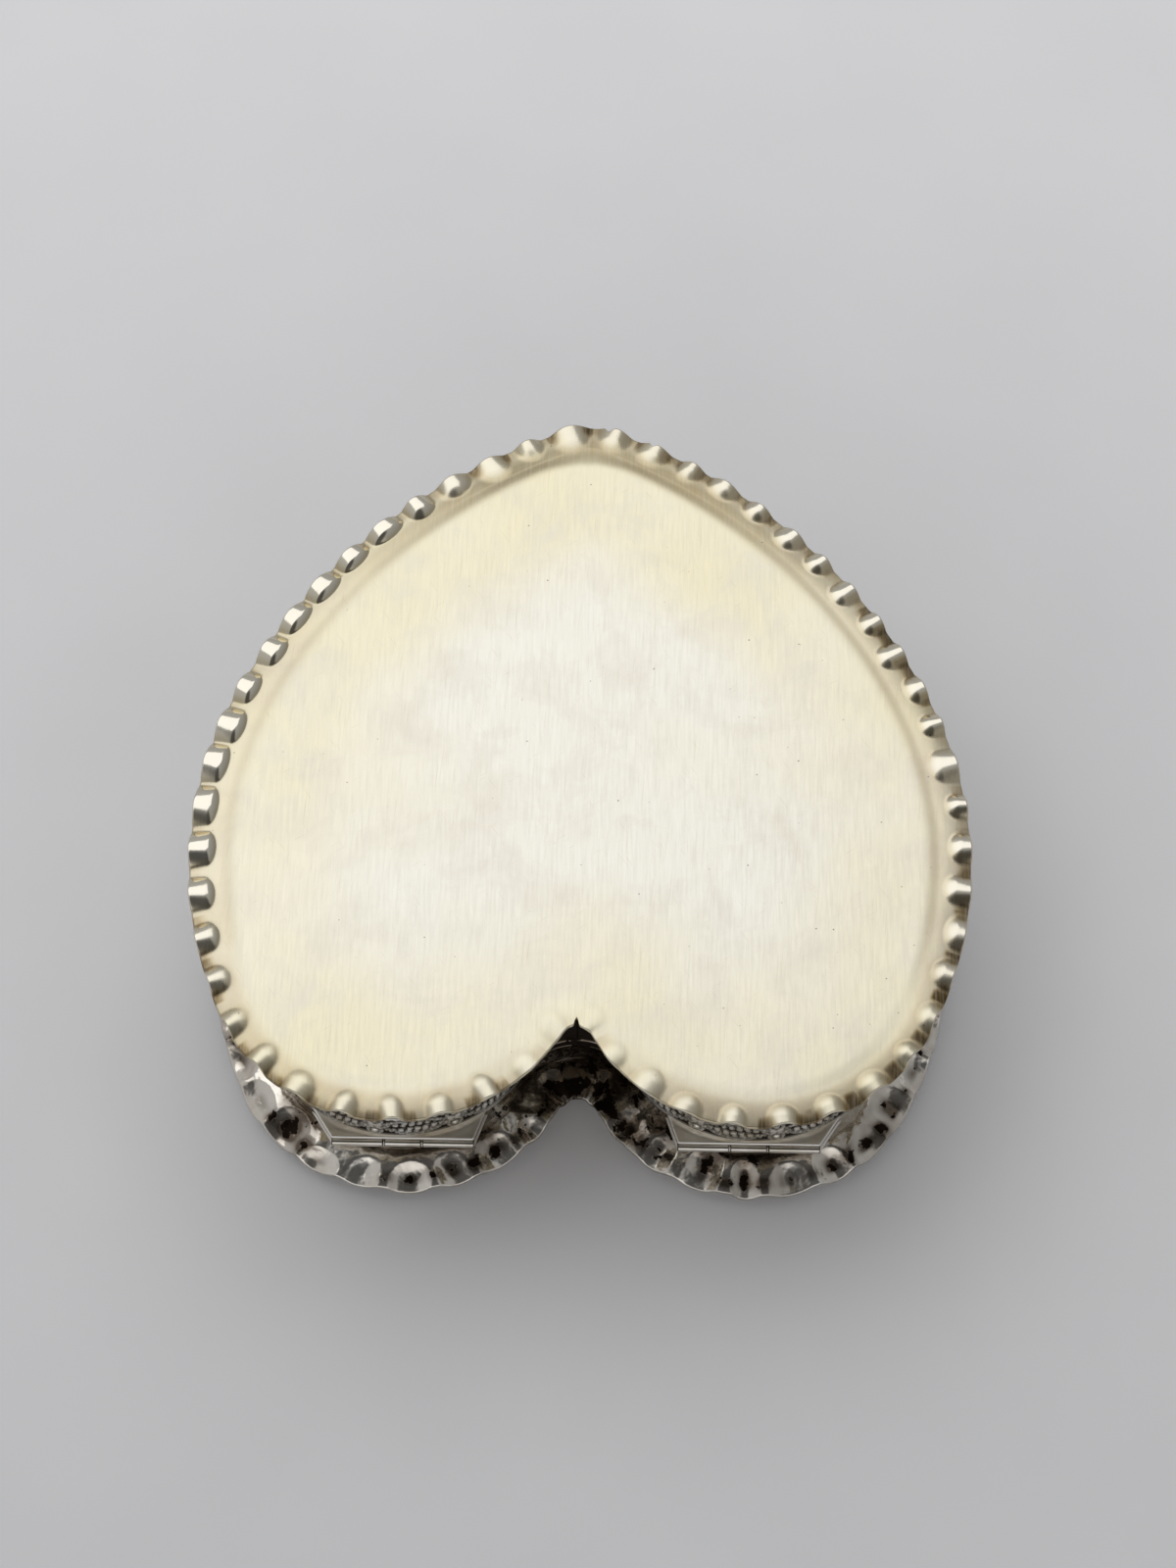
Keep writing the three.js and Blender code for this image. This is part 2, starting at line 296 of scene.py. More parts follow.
@dataclass(frozen=True)
class HeartPlan:
    """The heart's outline: five arcs on each half, met without a corner, from notch to tip."""

    lobe_radius: float = 28.0
    notch_radius: float = 2.2
    notch_turn: float = math.radians(30.2)
    shoulder_radius: float = 66.0
    shoulder_start: float = math.radians(24.2)
    flank_radius: float = 91.0
    flank_start: float = math.radians(25.2)
    tip_radius: float = 11.0
    tip_least: float = 0.5

    def arcs(self, inset: Array) -> list[tuple[Array, ...]]:
        """Gives the right half's arcs at each inset from the outline.

        Args:
            inset: Distances in from the outline.

        Returns:
            Centre x, centre y, radius, first angle and last angle of each arc, notch first.
        """
        def step(start: tuple[float, float], length: float, angle: float) -> tuple[float, float]:
            """Goes a length from a point at an angle."""
            return start[0] + length * math.cos(angle), start[1] + length * math.sin(angle)

        def tip_at(depth: Array) -> Array:
            """Height of the tip arc's centre above the flank's, at a depth."""
            reach = self.flank_radius - depth - np.maximum(self.tip_radius - depth, self.tip_least)
            return np.sqrt(reach ** 2 - flank[0] ** 2)

        apart = self.lobe_radius + self.notch_radius
        lobe = (apart * math.cos(self.notch_turn), 0.0)
        notch = step(lobe, -apart, self.notch_turn)
        shoulder = step(lobe, self.lobe_radius - self.shoulder_radius, -self.shoulder_start)
        flank = step(shoulder, self.shoulder_radius - self.flank_radius, self.flank_start)
        top = flank[1] + float(tip_at(np.zeros(1))[0]) + self.tip_radius
        lift = (self.lobe_radius - top) / 2
        zero = np.zeros_like(inset)
        rise = tip_at(inset)
        turn = np.arctan2(rise, -flank[0])
        rows = [
            (notch, self.notch_radius + inset, zero + math.pi / 2, zero + self.notch_turn),
            (lobe, self.lobe_radius - inset, zero + self.notch_turn - math.pi, zero - self.shoulder_start),
            (shoulder, self.shoulder_radius - inset, zero - self.shoulder_start, zero + self.flank_start),
            (flank, self.flank_radius - inset, zero + self.flank_start, turn),
            ((0.0, flank[1] + rise), np.maximum(self.tip_radius - inset, self.tip_least),
             turn, zero + math.pi / 2),
        ]
        return [(zero + c[0], zero + c[1] + lift, radius, start, end) for c, radius, start, end in rows]

    def half_length(self, inset: float) -> float:
        """Length of one half of the outline at an inset."""
        return float(sum(abs(end - start) * radius
                         for _, _, radius, start, end in self.arcs(np.float64(inset))))

    def stations(self, count: int, inset: float) -> tuple[Array, Array]:
        """Spaces points evenly along the right half.

        Args:
            count: The number of steps from notch to tip.
            inset: The inset on which they are even.

        Returns:
            The arc of each point, and how far along that arc it is.
        """
        lengths = np.array([abs(end - start) * radius
                            for _, _, radius, start, end in self.arcs(np.float64(inset))])
        ends = np.cumsum(lengths)
        place = np.linspace(0, ends[-1], count + 1)
        arc = np.minimum(np.searchsorted(ends, place, side="left"), len(ends) - 1)
        return arc, np.clip((place - (ends - lengths)[arc]) / lengths[arc], 0, 1)

    def half(self, inset: Array | float, stations: tuple[Array, Array]) -> Array:
        """Gives points of the right half.

        Args:
            inset: One inset, or one for each station.
            stations: What stations() gave.

        Returns:
            The points, from the notch to the tip.
        """
        arc, along = stations
        inset = np.broadcast_to(np.asarray(inset, float), along.shape)
        arcs = np.array([np.stack(a) for a in self.arcs(inset)])
        x, y, radius, start, end = arcs[arc, :, np.arange(len(arc))].T
        angle = start + (end - start) * along
        return np.stack([x + radius * np.cos(angle), y + radius * np.sin(angle)], -1)

    def loop(self, inset: Array | float, stations: tuple[Array, Array]) -> Array:
        """Gives points of the whole outline, round from the notch by the right lobe.

        Args:
            inset: One inset, or one for each point of the loop.
            stations: What stations() gave.

        Returns:
            Twice as many points as there are steps on a half.
        """
        steps = len(stations[0]) - 1
        inset = np.broadcast_to(np.asarray(inset, float), (2 * steps,))
        right = self.half(inset[:steps + 1], stations)
        left = self.half(np.append(inset[0], inset[:steps - 1:-1]), stations) * (-1, 1)
        return np.vstack([right, left[-2:0:-1]])


PLAN = HeartPlan()


@dataclass(frozen=True)
class FluteKind:
    """How the flutes are shaped and finished in one stretch of a rim."""

    width: float
    length: float
    rise: float
    softness: float = 1.2
    end: float = 2.0
    level_crest: float = 0.85
    tarnish: float = 0.0
    polish: float = 0.0


@dataclass
class FluteRow:
    """The hand-crimped flutes round a rim: half-round swellings, no two quite alike."""

    seed: int
    notch: FluteKind
    lobes: tuple[FluteKind, FluteKind]
    flanks: tuple[FluteKind, FluteKind]
    tip: FluteKind
    per_half: int = 27
    steps: int = 20
    even_on: float = 2.2
    unevenness: float = 0.07
    shift: float = 0.12
    lean: float = 0.05
    lean_about: float = 2.0
    squareness: float = 2.0
    # How far a flute's measures may stray, in standard deviations, and its widest half, in pitches.
    most_uneven: float = 1.8
    widest_half: float = 0.47
    stretches: tuple[float, ...] = (0.03, 0.1, 0.32, 0.46, 0.8, 0.92)
    # How many flutes the row has slid on from an even spacing, round from the notch by the right lobe.
    slide: tuple[tuple[float, float], ...] = ((0, 0), (54, 0))

    def __post_init__(self) -> None:
        """Works out each column's flute and draws the flutes' differences."""
        half_steps = self.per_half * self.steps
        self.stations = PLAN.stations(half_steps, self.even_on)
        self.columns = 2 * half_steps
        place = np.arange(self.columns) / self.steps
        self.run = np.minimum(place, 2 * self.per_half - place) / self.per_half
        self.pitch = PLAN.half_length(self.even_on) / self.per_half
        count = 2 * self.per_half + round(self.slide[-1][1] - self.slide[0][1])
        phase = place + np.interp(place, *zip(*self.slide))
        self.which = np.floor(phase).astype(int) % count
        self.local = (phase % 1 - 0.5) * self.pitch
        middle = np.interp(np.arange(count) + 0.5, phase, place) / self.per_half
        rng = np.random.default_rng(self.seed)

        def shaped(part: str, uneven: float) -> Array:
            """Gives each flute one of its measures, with its unevenness.

            Args:
                part: The measure's name.
                uneven: How far it strays, as a share of it.

            Returns:
                The measure of each flute.
            """
            right, left = (np.interp(np.minimum(middle, 2 - middle), self.stretches, [
                getattr(kind, part) for kind in (self.notch, lobe, lobe, flank, flank, self.tip)])
                for lobe, flank in zip(self.lobes, self.flanks))
            strays = np.clip(rng.normal(size=count), -self.most_uneven, self.most_uneven)
            return np.where(middle < 1, right, left) * (1 + uneven * strays)

        self.half_width = np.minimum(shaped("width", self.unevenness) / 2, self.widest_half * self.pitch)
        self.length = shaped("length", self.unevenness)
        self.rise = shaped("rise", self.unevenness)
        self.softness, self.end, self.level_crest, self.polish = (
            shaped(part, 0.0) for part in ("softness", "end", "level_crest", "polish"))
        self.tarnish = np.clip(shaped("tarnish", 3 * self.unevenness), 0, 1)
        self.shifts = rng.normal(0, self.shift, count)
        self.leans = rng.normal(0, self.lean, count)

    def across(self, depth: float) -> Array:
        """Gives how far each column is from its flute's back, at a depth in from the rim's edge.

        Args:
            depth: The depth.

        Returns:
            From 0 on the back to 1 at the flute's foot, and more beyond it.
        """
        i = self.which
        aside = self.local - self.shifts[i] - self.leans[i] * (depth - self.lean_about)
        sideways = np.abs(aside) / self.half_width[i]
        beyond = np.maximum(depth - (self.length[i] - self.end[i]), 0) / self.end[i]
        return (sideways ** self.squareness + beyond ** self.squareness) ** (1 / self.squareness)

    def swell(self, depth: float) -> Array:
        """Gives each column's swelling at a depth, from 0 at a flute's foot to 1 on its back."""
        window = smooth(0.5, 0.42, np.abs(self.local) / self.pitch)
        return np.clip(1 - self.across(depth) ** 2, 0, 1) ** self.softness[self.which] * window

    def wander(self, size: float, seed: int) -> Array:
        """A slow unevenness round the rim.

        Args:
            size: Its largest size, about.
            seed: Its seed.

        Returns:
            A value for each column.
        """
        turn = np.arange(self.columns) * 2 * math.pi / self.columns
        circle_radius, wavelength = 20, 11
        return size * ripple(np.stack([np.cos(turn), np.sin(turn)], -1) * circle_radius, wavelength, seed)


@dataclass(frozen=True)
class SatinSilver:
    """Sterling silver, planished sheet rubbed to a satin: a soft cream glow, scratched and stained."""

    clean: str = "f2efe4"
    yellowed: str = "f0e8c9"
    smudged: str = "e4decf"
    # Painted shade: this grey darkens the tip's step, the field's edge and the flutes' outlines, with some
    # film.
    film_and_painted_shade: str = "a79e80"
    bare: str = "f1ecdf"
    # Sulphide and crust are tarnish, and also painted shade on the flutes' front sides and round their ends.
    sulphide: str = "ab8a4a"
    crust: str = "3f3320"
    speck: str = "41351f"
    satin_roughness: float = 0.36
    rim_roughness: float = 0.1
    stain_size: float = 26.0
    smudge_size: float = 9.0
    brush_width: float = 0.35
    brush_length: float = 7.0
    speck_spacing: float = 2.5
    # Each set of scratches: its turn in degrees, one's length and width, how few there are, and how dark.
    scratches: tuple[tuple[float, ...], ...] = ((4, 9.0, 0.18, 0.67, 0.15), (-35, 5.0, 0.15, 0.72, 0.2),
                                                (58, 4.0, 0.15, 0.73, 0.2))

    def build(self) -> bpy.types.Material:
        """Builds the finish from the masks rim, swell, border, foot for stains and tarnish with some painted
        shade, and a grey mask of painted shade with some tarnish.

        Returns:
            The material.
        """
        material, tree, shader, place = start_finish("sterling_silver_satin_planished")
        rim, swell, foot, painted_shade_and_tarnish, border = (add_node(tree, "Attribute", {"attribute_name": key}).outputs["Fac"]
                                          for key in ("rim", "swell", "foot", "painted_shade_and_tarnish", "border"))
        stain = add_node(tree, "TexNoise", {"Scale": 1 / (self.stain_size * MM), "Detail": 3.0,
                                            "Roughness": 0.55}, {"Vector": place})
        smudge = add_node(tree, "TexNoise", {"Scale": 1 / (self.smudge_size * MM), "Detail": 5.0,
                                             "Roughness": 0.62, "Distortion": 0.4}, {"Vector": place})
        strokes = (1 / (self.brush_width * MM), 1 / (self.brush_length * MM), 1.0)
        along = add_node(tree, "Mapping", {"Scale": strokes}, {"Vector": place})
        brush = add_node(tree, "TexNoise", {"Scale": 1.0, "Detail": 4.0, "Roughness": 0.7},
                         {"Vector": along.outputs[0]})
        specks = add_node(tree, "TexVoronoi", {"Scale": 1 / (self.speck_spacing * MM), "Randomness": 1.0},
                          {"Vector": place})
        kept = add_node(tree, "MapRange", {"From Min": 0.45, "From Max": 0.75},
                        {"Value": specks.outputs["Color"]})
        dot = add_node(tree, "MapRange", {"From Min": 0.065, "From Max": 0.03, "To Max": 0.75},
                       {"Value": specks.outputs["Distance"]})
        speck = add_node(tree, "Math", {"operation": "MULTIPLY"},
                         {0: kept.outputs[0], 1: dot.outputs[0]})
        near_rim = add_node(tree, "MapRange", {"To Min": 0.2, "To Max": 0.5}, {"Value": border})
        stained = add_node(tree, "Math", {"operation": "MULTIPLY_ADD", 1: 0.5},
                           {0: stain.outputs["Fac"], 2: near_rim.outputs[0]})
        yellow = add_node(tree, "MapRange", {"From Min": 0.43, "From Max": 0.82},
                          {"Value": stained.outputs[0]})
        warm = add_node(tree, "Mix", {"data_type": "RGBA", 6: linear(self.clean), 7: linear(self.yellowed)},
                        {0: yellow.outputs[0]})
        wiped = add_node(tree, "MapRange", {"From Min": 0.47, "From Max": 0.75, "To Max": 0.8},
                         {"Value": smudge.outputs["Fac"]})
        grey = add_node(tree, "Mix", {"data_type": "RGBA", 7: linear(self.smudged)},
                        {0: wiped.outputs[0], 6: warm.outputs[2]})
        # Painted shade, with some tarnish: the grey mask.
        part = add_node(tree, "Math", {"operation": "MULTIPLY", 1: 0.68}, {0: painted_shade_and_tarnish})
        grey = add_node(tree, "Mix", {"data_type": "RGBA", 7: linear(self.film_and_painted_shade)},
                        {0: part.outputs[0], 6: grey.outputs[2]})
        dirt = add_node(tree, "MapRange", {"From Min": 0.25, "From Max": 0.75, "To Min": 0.6, "To Max": 1.05},
                        {"Value": smudge.outputs["Fac"]})
        # The foot mask: stains and tarnish, with painted shade on the flutes' front sides and ends.
        brown = add_node(tree, "Math", {"operation": "MULTIPLY"}, {0: foot, 1: dirt.outputs[0]})
        brown_stain_and_painted_shade = add_node(tree, "Mix", {"data_type": "RGBA", 7: linear(self.sulphide)},
                             {0: brown.outputs[0], 6: grey.outputs[2]})
        deep = add_node(tree, "MapRange", {"From Min": 0.5, "From Max": 0.95, "To Max": 0.8},
                        {"Value": brown.outputs[0]})
        brown_stain_and_painted_shade = add_node(tree, "Mix", {"data_type": "RGBA", 7: linear(self.crust)},
                             {0: deep.outputs[0], 6: brown_stain_and_painted_shade.outputs[2]})
        crest = add_node(tree, "MapRange", {"From Min": 0.2, "From Max": 0.8, "To Max": 0.85},
                         {"Value": swell})
        dotted = add_node(tree, "Mix", {"data_type": "RGBA", 7: linear(self.speck)},
                          {0: speck.outputs[0], 6: brown_stain_and_painted_shade.outputs[2]})
        streak = add_node(tree, "MapRange", {"From Min": 0.42, "From Max": 0.7, "To Max": 0.3},
                          {"Value": brush.outputs["Fac"]})
        marked = add_node(tree, "Mix", {"data_type": "RGBA", 7: linear(self.smudged)},
                          {0: streak.outputs[0], 6: dotted.outputs[2]})
        for turn, length, width, fewness, dark in self.scratches:
            laid = add_node(tree, "Mapping", {"Rotation": (0, 0, math.radians(turn))}, {"Vector": place})
            drawn = add_node(tree, "Mapping", {"Scale": (1 / (width * MM), 1 / (length * MM), 1.0)},
                             {"Vector": laid.outputs[0]})
            lines = add_node(tree, "TexNoise", {"Scale": 1.0, "Detail": 1.0}, {"Vector": drawn.outputs[0]})
            cut = add_node(tree, "MapRange",
                           {"From Min": fewness, "From Max": fewness + 0.05, "To Max": dark},
                           {"Value": lines.outputs["Fac"]})
            marked = add_node(tree, "Mix", {"data_type": "RGBA", 7: linear(self.sulphide)},
                              {0: cut.outputs[0], 6: marked.outputs[2]})
        rubbed_bare = add_node(tree, "Mix", {"data_type": "RGBA", 7: linear(self.bare)},
                               {0: crest.outputs[0], 6: marked.outputs[2]})
        rough = add_node(tree, "MapRange", {"To Min": self.satin_roughness, "To Max": self.rim_roughness},
                         {"Value": rim})
        worn = add_node(tree, "MapRange", {"From Min": 0.3, "From Max": 0.7, "To Min": 0.88, "To Max": 1.12},
                        {"Value": brush.outputs["Fac"]})
        rubbed = add_node(tree, "Math", {"operation": "MULTIPLY"}, {0: rough.outputs[0], 1: worn.outputs[0]})
        grain = add_node(tree, "Bump", {"Strength": 0.06, "Distance": 0.1 * MM},
                         {"Height": brush.outputs["Fac"]})
        dents = add_node(tree, "Bump", {"Strength": 0.12, "Distance": 0.4 * MM},
                         {"Height": smudge.outputs["Fac"], "Normal": grain.outputs[0]})
        shader.inputs["Metallic"].default_value = 1.0
        tree.links.new(rubbed_bare.outputs[2], shader.inputs["Base Color"])
        tree.links.new(rubbed.outputs[0], shader.inputs["Roughness"])
        tree.links.new(dents.outputs[0], shader.inputs["Normal"])
        return material


@dataclass(frozen=True)
class PolishedSilver:
    """Sterling silver, drawn and burnished: mirror-like, wiped, with black sulphide left in corners, and
    darkened where its mask paints shade.
    """

    name: str = "sterling_silver_burnished"
    clean: str = "e8e4dc"
    toned: str = "cfc6b6"
    # Film and black sulphide: tarnish, and painted shade where the mask carries it in the notch.
    film: str = "5a4b3c"
    sulphide: str = "221b16"
    roughness: float = 0.14
    crust_roughness: float = 0.45
    wipe_size: float = 6.0
    crust_size: float = 1.7
    crumple: float = 0.0
    crumple_size: float = 2.2

    def build(self) -> bpy.types.Material:
        """Builds the finish from one mask of tarnish, which also carries painted shade in the notch.

        Returns:
            The material.
        """
        material, tree, shader, place = start_finish(self.name)
        grime_and_painted_shade = add_node(tree, "Attribute", {"attribute_name": "grime_and_painted_shade"}).outputs["Fac"]
        wipe = add_node(tree, "TexNoise", {"Scale": 1 / (self.wipe_size * MM), "Detail": 4.0,
                                           "Distortion": 0.6}, {"Vector": place})
        crust = add_node(tree, "TexNoise", {"Scale": 1 / (self.crust_size * MM), "Detail": 6.0,
                                            "Roughness": 0.62}, {"Vector": place})
        # The mask brings in the film and black islands: tarnish, with painted shade in the notch.
        need = add_node(tree, "MapRange", {"To Min": 0.8, "To Max": 0.4}, {"Value": grime_and_painted_shade})
        over = add_node(tree, "Math", {"operation": "SUBTRACT"},
                        {0: crust.outputs["Fac"], 1: need.outputs[0]})
        island = add_node(tree, "MapRange", {"From Min": 0.0, "From Max": 0.03}, {"Value": over.outputs[0]})
        warm = add_node(tree, "MapRange", {"From Min": 0.35, "From Max": 0.75},
                        {"Value": wipe.outputs["Fac"]})
        toned = add_node(tree, "Mix", {"data_type": "RGBA", 6: linear(self.clean), 7: linear(self.toned)},
                         {0: warm.outputs[0]})
        deep = add_node(tree, "Math", {"operation": "MULTIPLY"}, {0: grime_and_painted_shade, 1: wipe.outputs["Fac"]})
        thick = add_node(tree, "MapRange", {"From Min": 0.06, "From Max": 0.35, "To Max": 0.9},
                         {"Value": deep.outputs[0]})
        film_and_painted_shade = add_node(tree, "Mix", {"data_type": "RGBA", 7: linear(self.film)},
                          {0: thick.outputs[0], 6: toned.outputs[2]})
        black = add_node(tree, "Mix", {"data_type": "RGBA", 7: linear(self.sulphide)},
                         {0: island.outputs[0], 6: film_and_painted_shade.outputs[2]})
        hazy = add_node(tree, "MapRange", {"To Min": self.roughness * 0.75, "To Max": self.roughness * 1.4},
                        {"Value": wipe.outputs["Fac"]})
        rough = add_node(tree, "Mix", {3: self.crust_roughness},
                         {0: island.outputs[0], 2: hazy.outputs[0]})
        crusted = add_node(tree, "Math", {"operation": "MULTIPLY"},
                           {0: crust.outputs["Fac"], 1: island.outputs[0]})
        folds = add_node(tree, "TexNoise", {"Scale": 1 / (self.crumple_size * MM), "Detail": 2.0},
                         {"Vector": place})
        crumpled = add_node(tree, "Bump", {"Strength": 1.0, "Distance": self.crumple * MM},
                            {"Height": folds.outputs["Fac"]})
        bump = add_node(tree, "Bump", {"Strength": 0.35, "Distance": 0.12 * MM},
                        {"Height": crusted.outputs[0], "Normal": crumpled.outputs[0]})
        shader.inputs["Metallic"].default_value = 1.0
        tree.links.new(black.outputs[2], shader.inputs["Base Color"])
        tree.links.new(rough.outputs[0], shader.inputs["Roughness"])
        tree.links.new(bump.outputs[0], shader.inputs["Normal"])
        return material


@dataclass(frozen=True)
class ChasedSilver:
    """Sterling silver, chased and oxidised: bright raised work on a blackened, punched ground."""

    bright: str = "e4e0d8"
    toned: str = "b5aa94"
    oxide: str = "352d26"
    bright_roughness: float = 0.18
    ground_roughness: float = 0.5
    punch_size: float = 0.6
    patch_size: float = 7.0

    def build(self) -> bpy.types.Material:
        """Builds the finish from the mask relief, which also darkens the plain wall by the notch as painted
        shade.

        Returns:
            The material.
        """
        material, tree, shader, place = start_finish("sterling_silver_chased_oxidised")
        relief = add_node(tree, "Attribute", {"attribute_name": "relief"}).outputs["Fac"]
        patch = add_node(tree, "TexNoise", {"Scale": 1 / (self.patch_size * MM), "Detail": 4.0},
                         {"Vector": place})
        punch = add_node(tree, "TexVoronoi", {"Scale": 1 / (self.punch_size * MM)}, {"Vector": place})
        uneven = add_node(tree, "MapRange", {"To Min": -0.22, "To Max": 0.22},
                          {"Value": patch.outputs["Fac"]})
        lifted = add_node(tree, "Math", {"operation": "ADD"}, {0: relief, 1: uneven.outputs[0]})
        dark = add_node(tree, "MapRange", {"From Min": 0.56, "From Max": 0.15}, {"Value": lifted.outputs[0]})
        film = add_node(tree, "MapRange", {"From Min": 0.4, "From Max": 0.7}, {"Value": patch.outputs["Fac"]})
        toned = add_node(tree, "Mix", {"data_type": "RGBA", 6: linear(self.bright), 7: linear(self.toned)},
                         {0: film.outputs[0]})
        black = add_node(tree, "Mix", {"data_type": "RGBA", 7: linear(self.oxide)},
                         {0: dark.outputs[0], 6: toned.outputs[2]})
        rough = add_node(tree, "MapRange", {"To Min": self.bright_roughness, "To Max": self.ground_roughness},
                         {"Value": dark.outputs[0]})
        pitted = add_node(tree, "Math", {"operation": "MULTIPLY"},
                          {0: punch.outputs["Distance"], 1: dark.outputs[0]})
        bump = add_node(tree, "Bump", {"Strength": 0.5, "Distance": 0.15 * MM}, {"Height": pitted.outputs[0]})
        shader.inputs["Metallic"].default_value = 1.0
        tree.links.new(black.outputs[2], shader.inputs["Base Color"])
        tree.links.new(rough.outputs[0], shader.inputs["Roughness"])
        tree.links.new(bump.outputs[0], shader.inputs["Normal"])
        return material


@dataclass(frozen=True)
class SilkVelvet:
    """Silk velvet, woven with a cut pile: deep wine, pale where the pile is seen edge on."""

    pile: str = "4c0f1d"
    rubbed: str = "5e1a2a"
    sheen: str = "d89aa4"
    pile_size: float = 0.4
    stroke_size: float = 4.0

    def build(self) -> bpy.types.Material:
        """Builds the finish. The pile is drawn several times coarser than it is, so that it shows.

        Returns:
            The material.
        """
        material, tree, shader, place = start_finish("silk_velvet_cut_pile")
        stroke = add_node(tree, "TexNoise", {"Scale": 1 / (self.stroke_size * MM), "Detail": 3.0,
                                             "Distortion": 0.8}, {"Vector": place})
        pile = add_node(tree, "TexNoise", {"Scale": 1 / (self.pile_size * MM), "Detail": 2.0},
                        {"Vector": place})
        brushed = add_node(tree, "MapRange", {"From Min": 0.4, "From Max": 0.65},
                           {"Value": stroke.outputs["Fac"]})
        colour = add_node(tree, "Mix", {"data_type": "RGBA", 6: linear(self.pile), 7: linear(self.rubbed)},
                          {0: brushed.outputs[0]})
        bump = add_node(tree, "Bump", {"Strength": 0.5, "Distance": 0.2 * MM},
                        {"Height": pile.outputs["Fac"]})
        for socket, value in {"Roughness": 0.95, "Sheen Weight": 0.6, "Sheen Roughness": 0.4,
                              "Sheen Tint": linear(self.sheen), "Specular IOR Level": 0.15}.items():
            shader.inputs[socket].default_value = value
        tree.links.new(colour.outputs[2], shader.inputs["Base Color"])
        tree.links.new(bump.outputs[0], shader.inputs["Normal"])
        return material


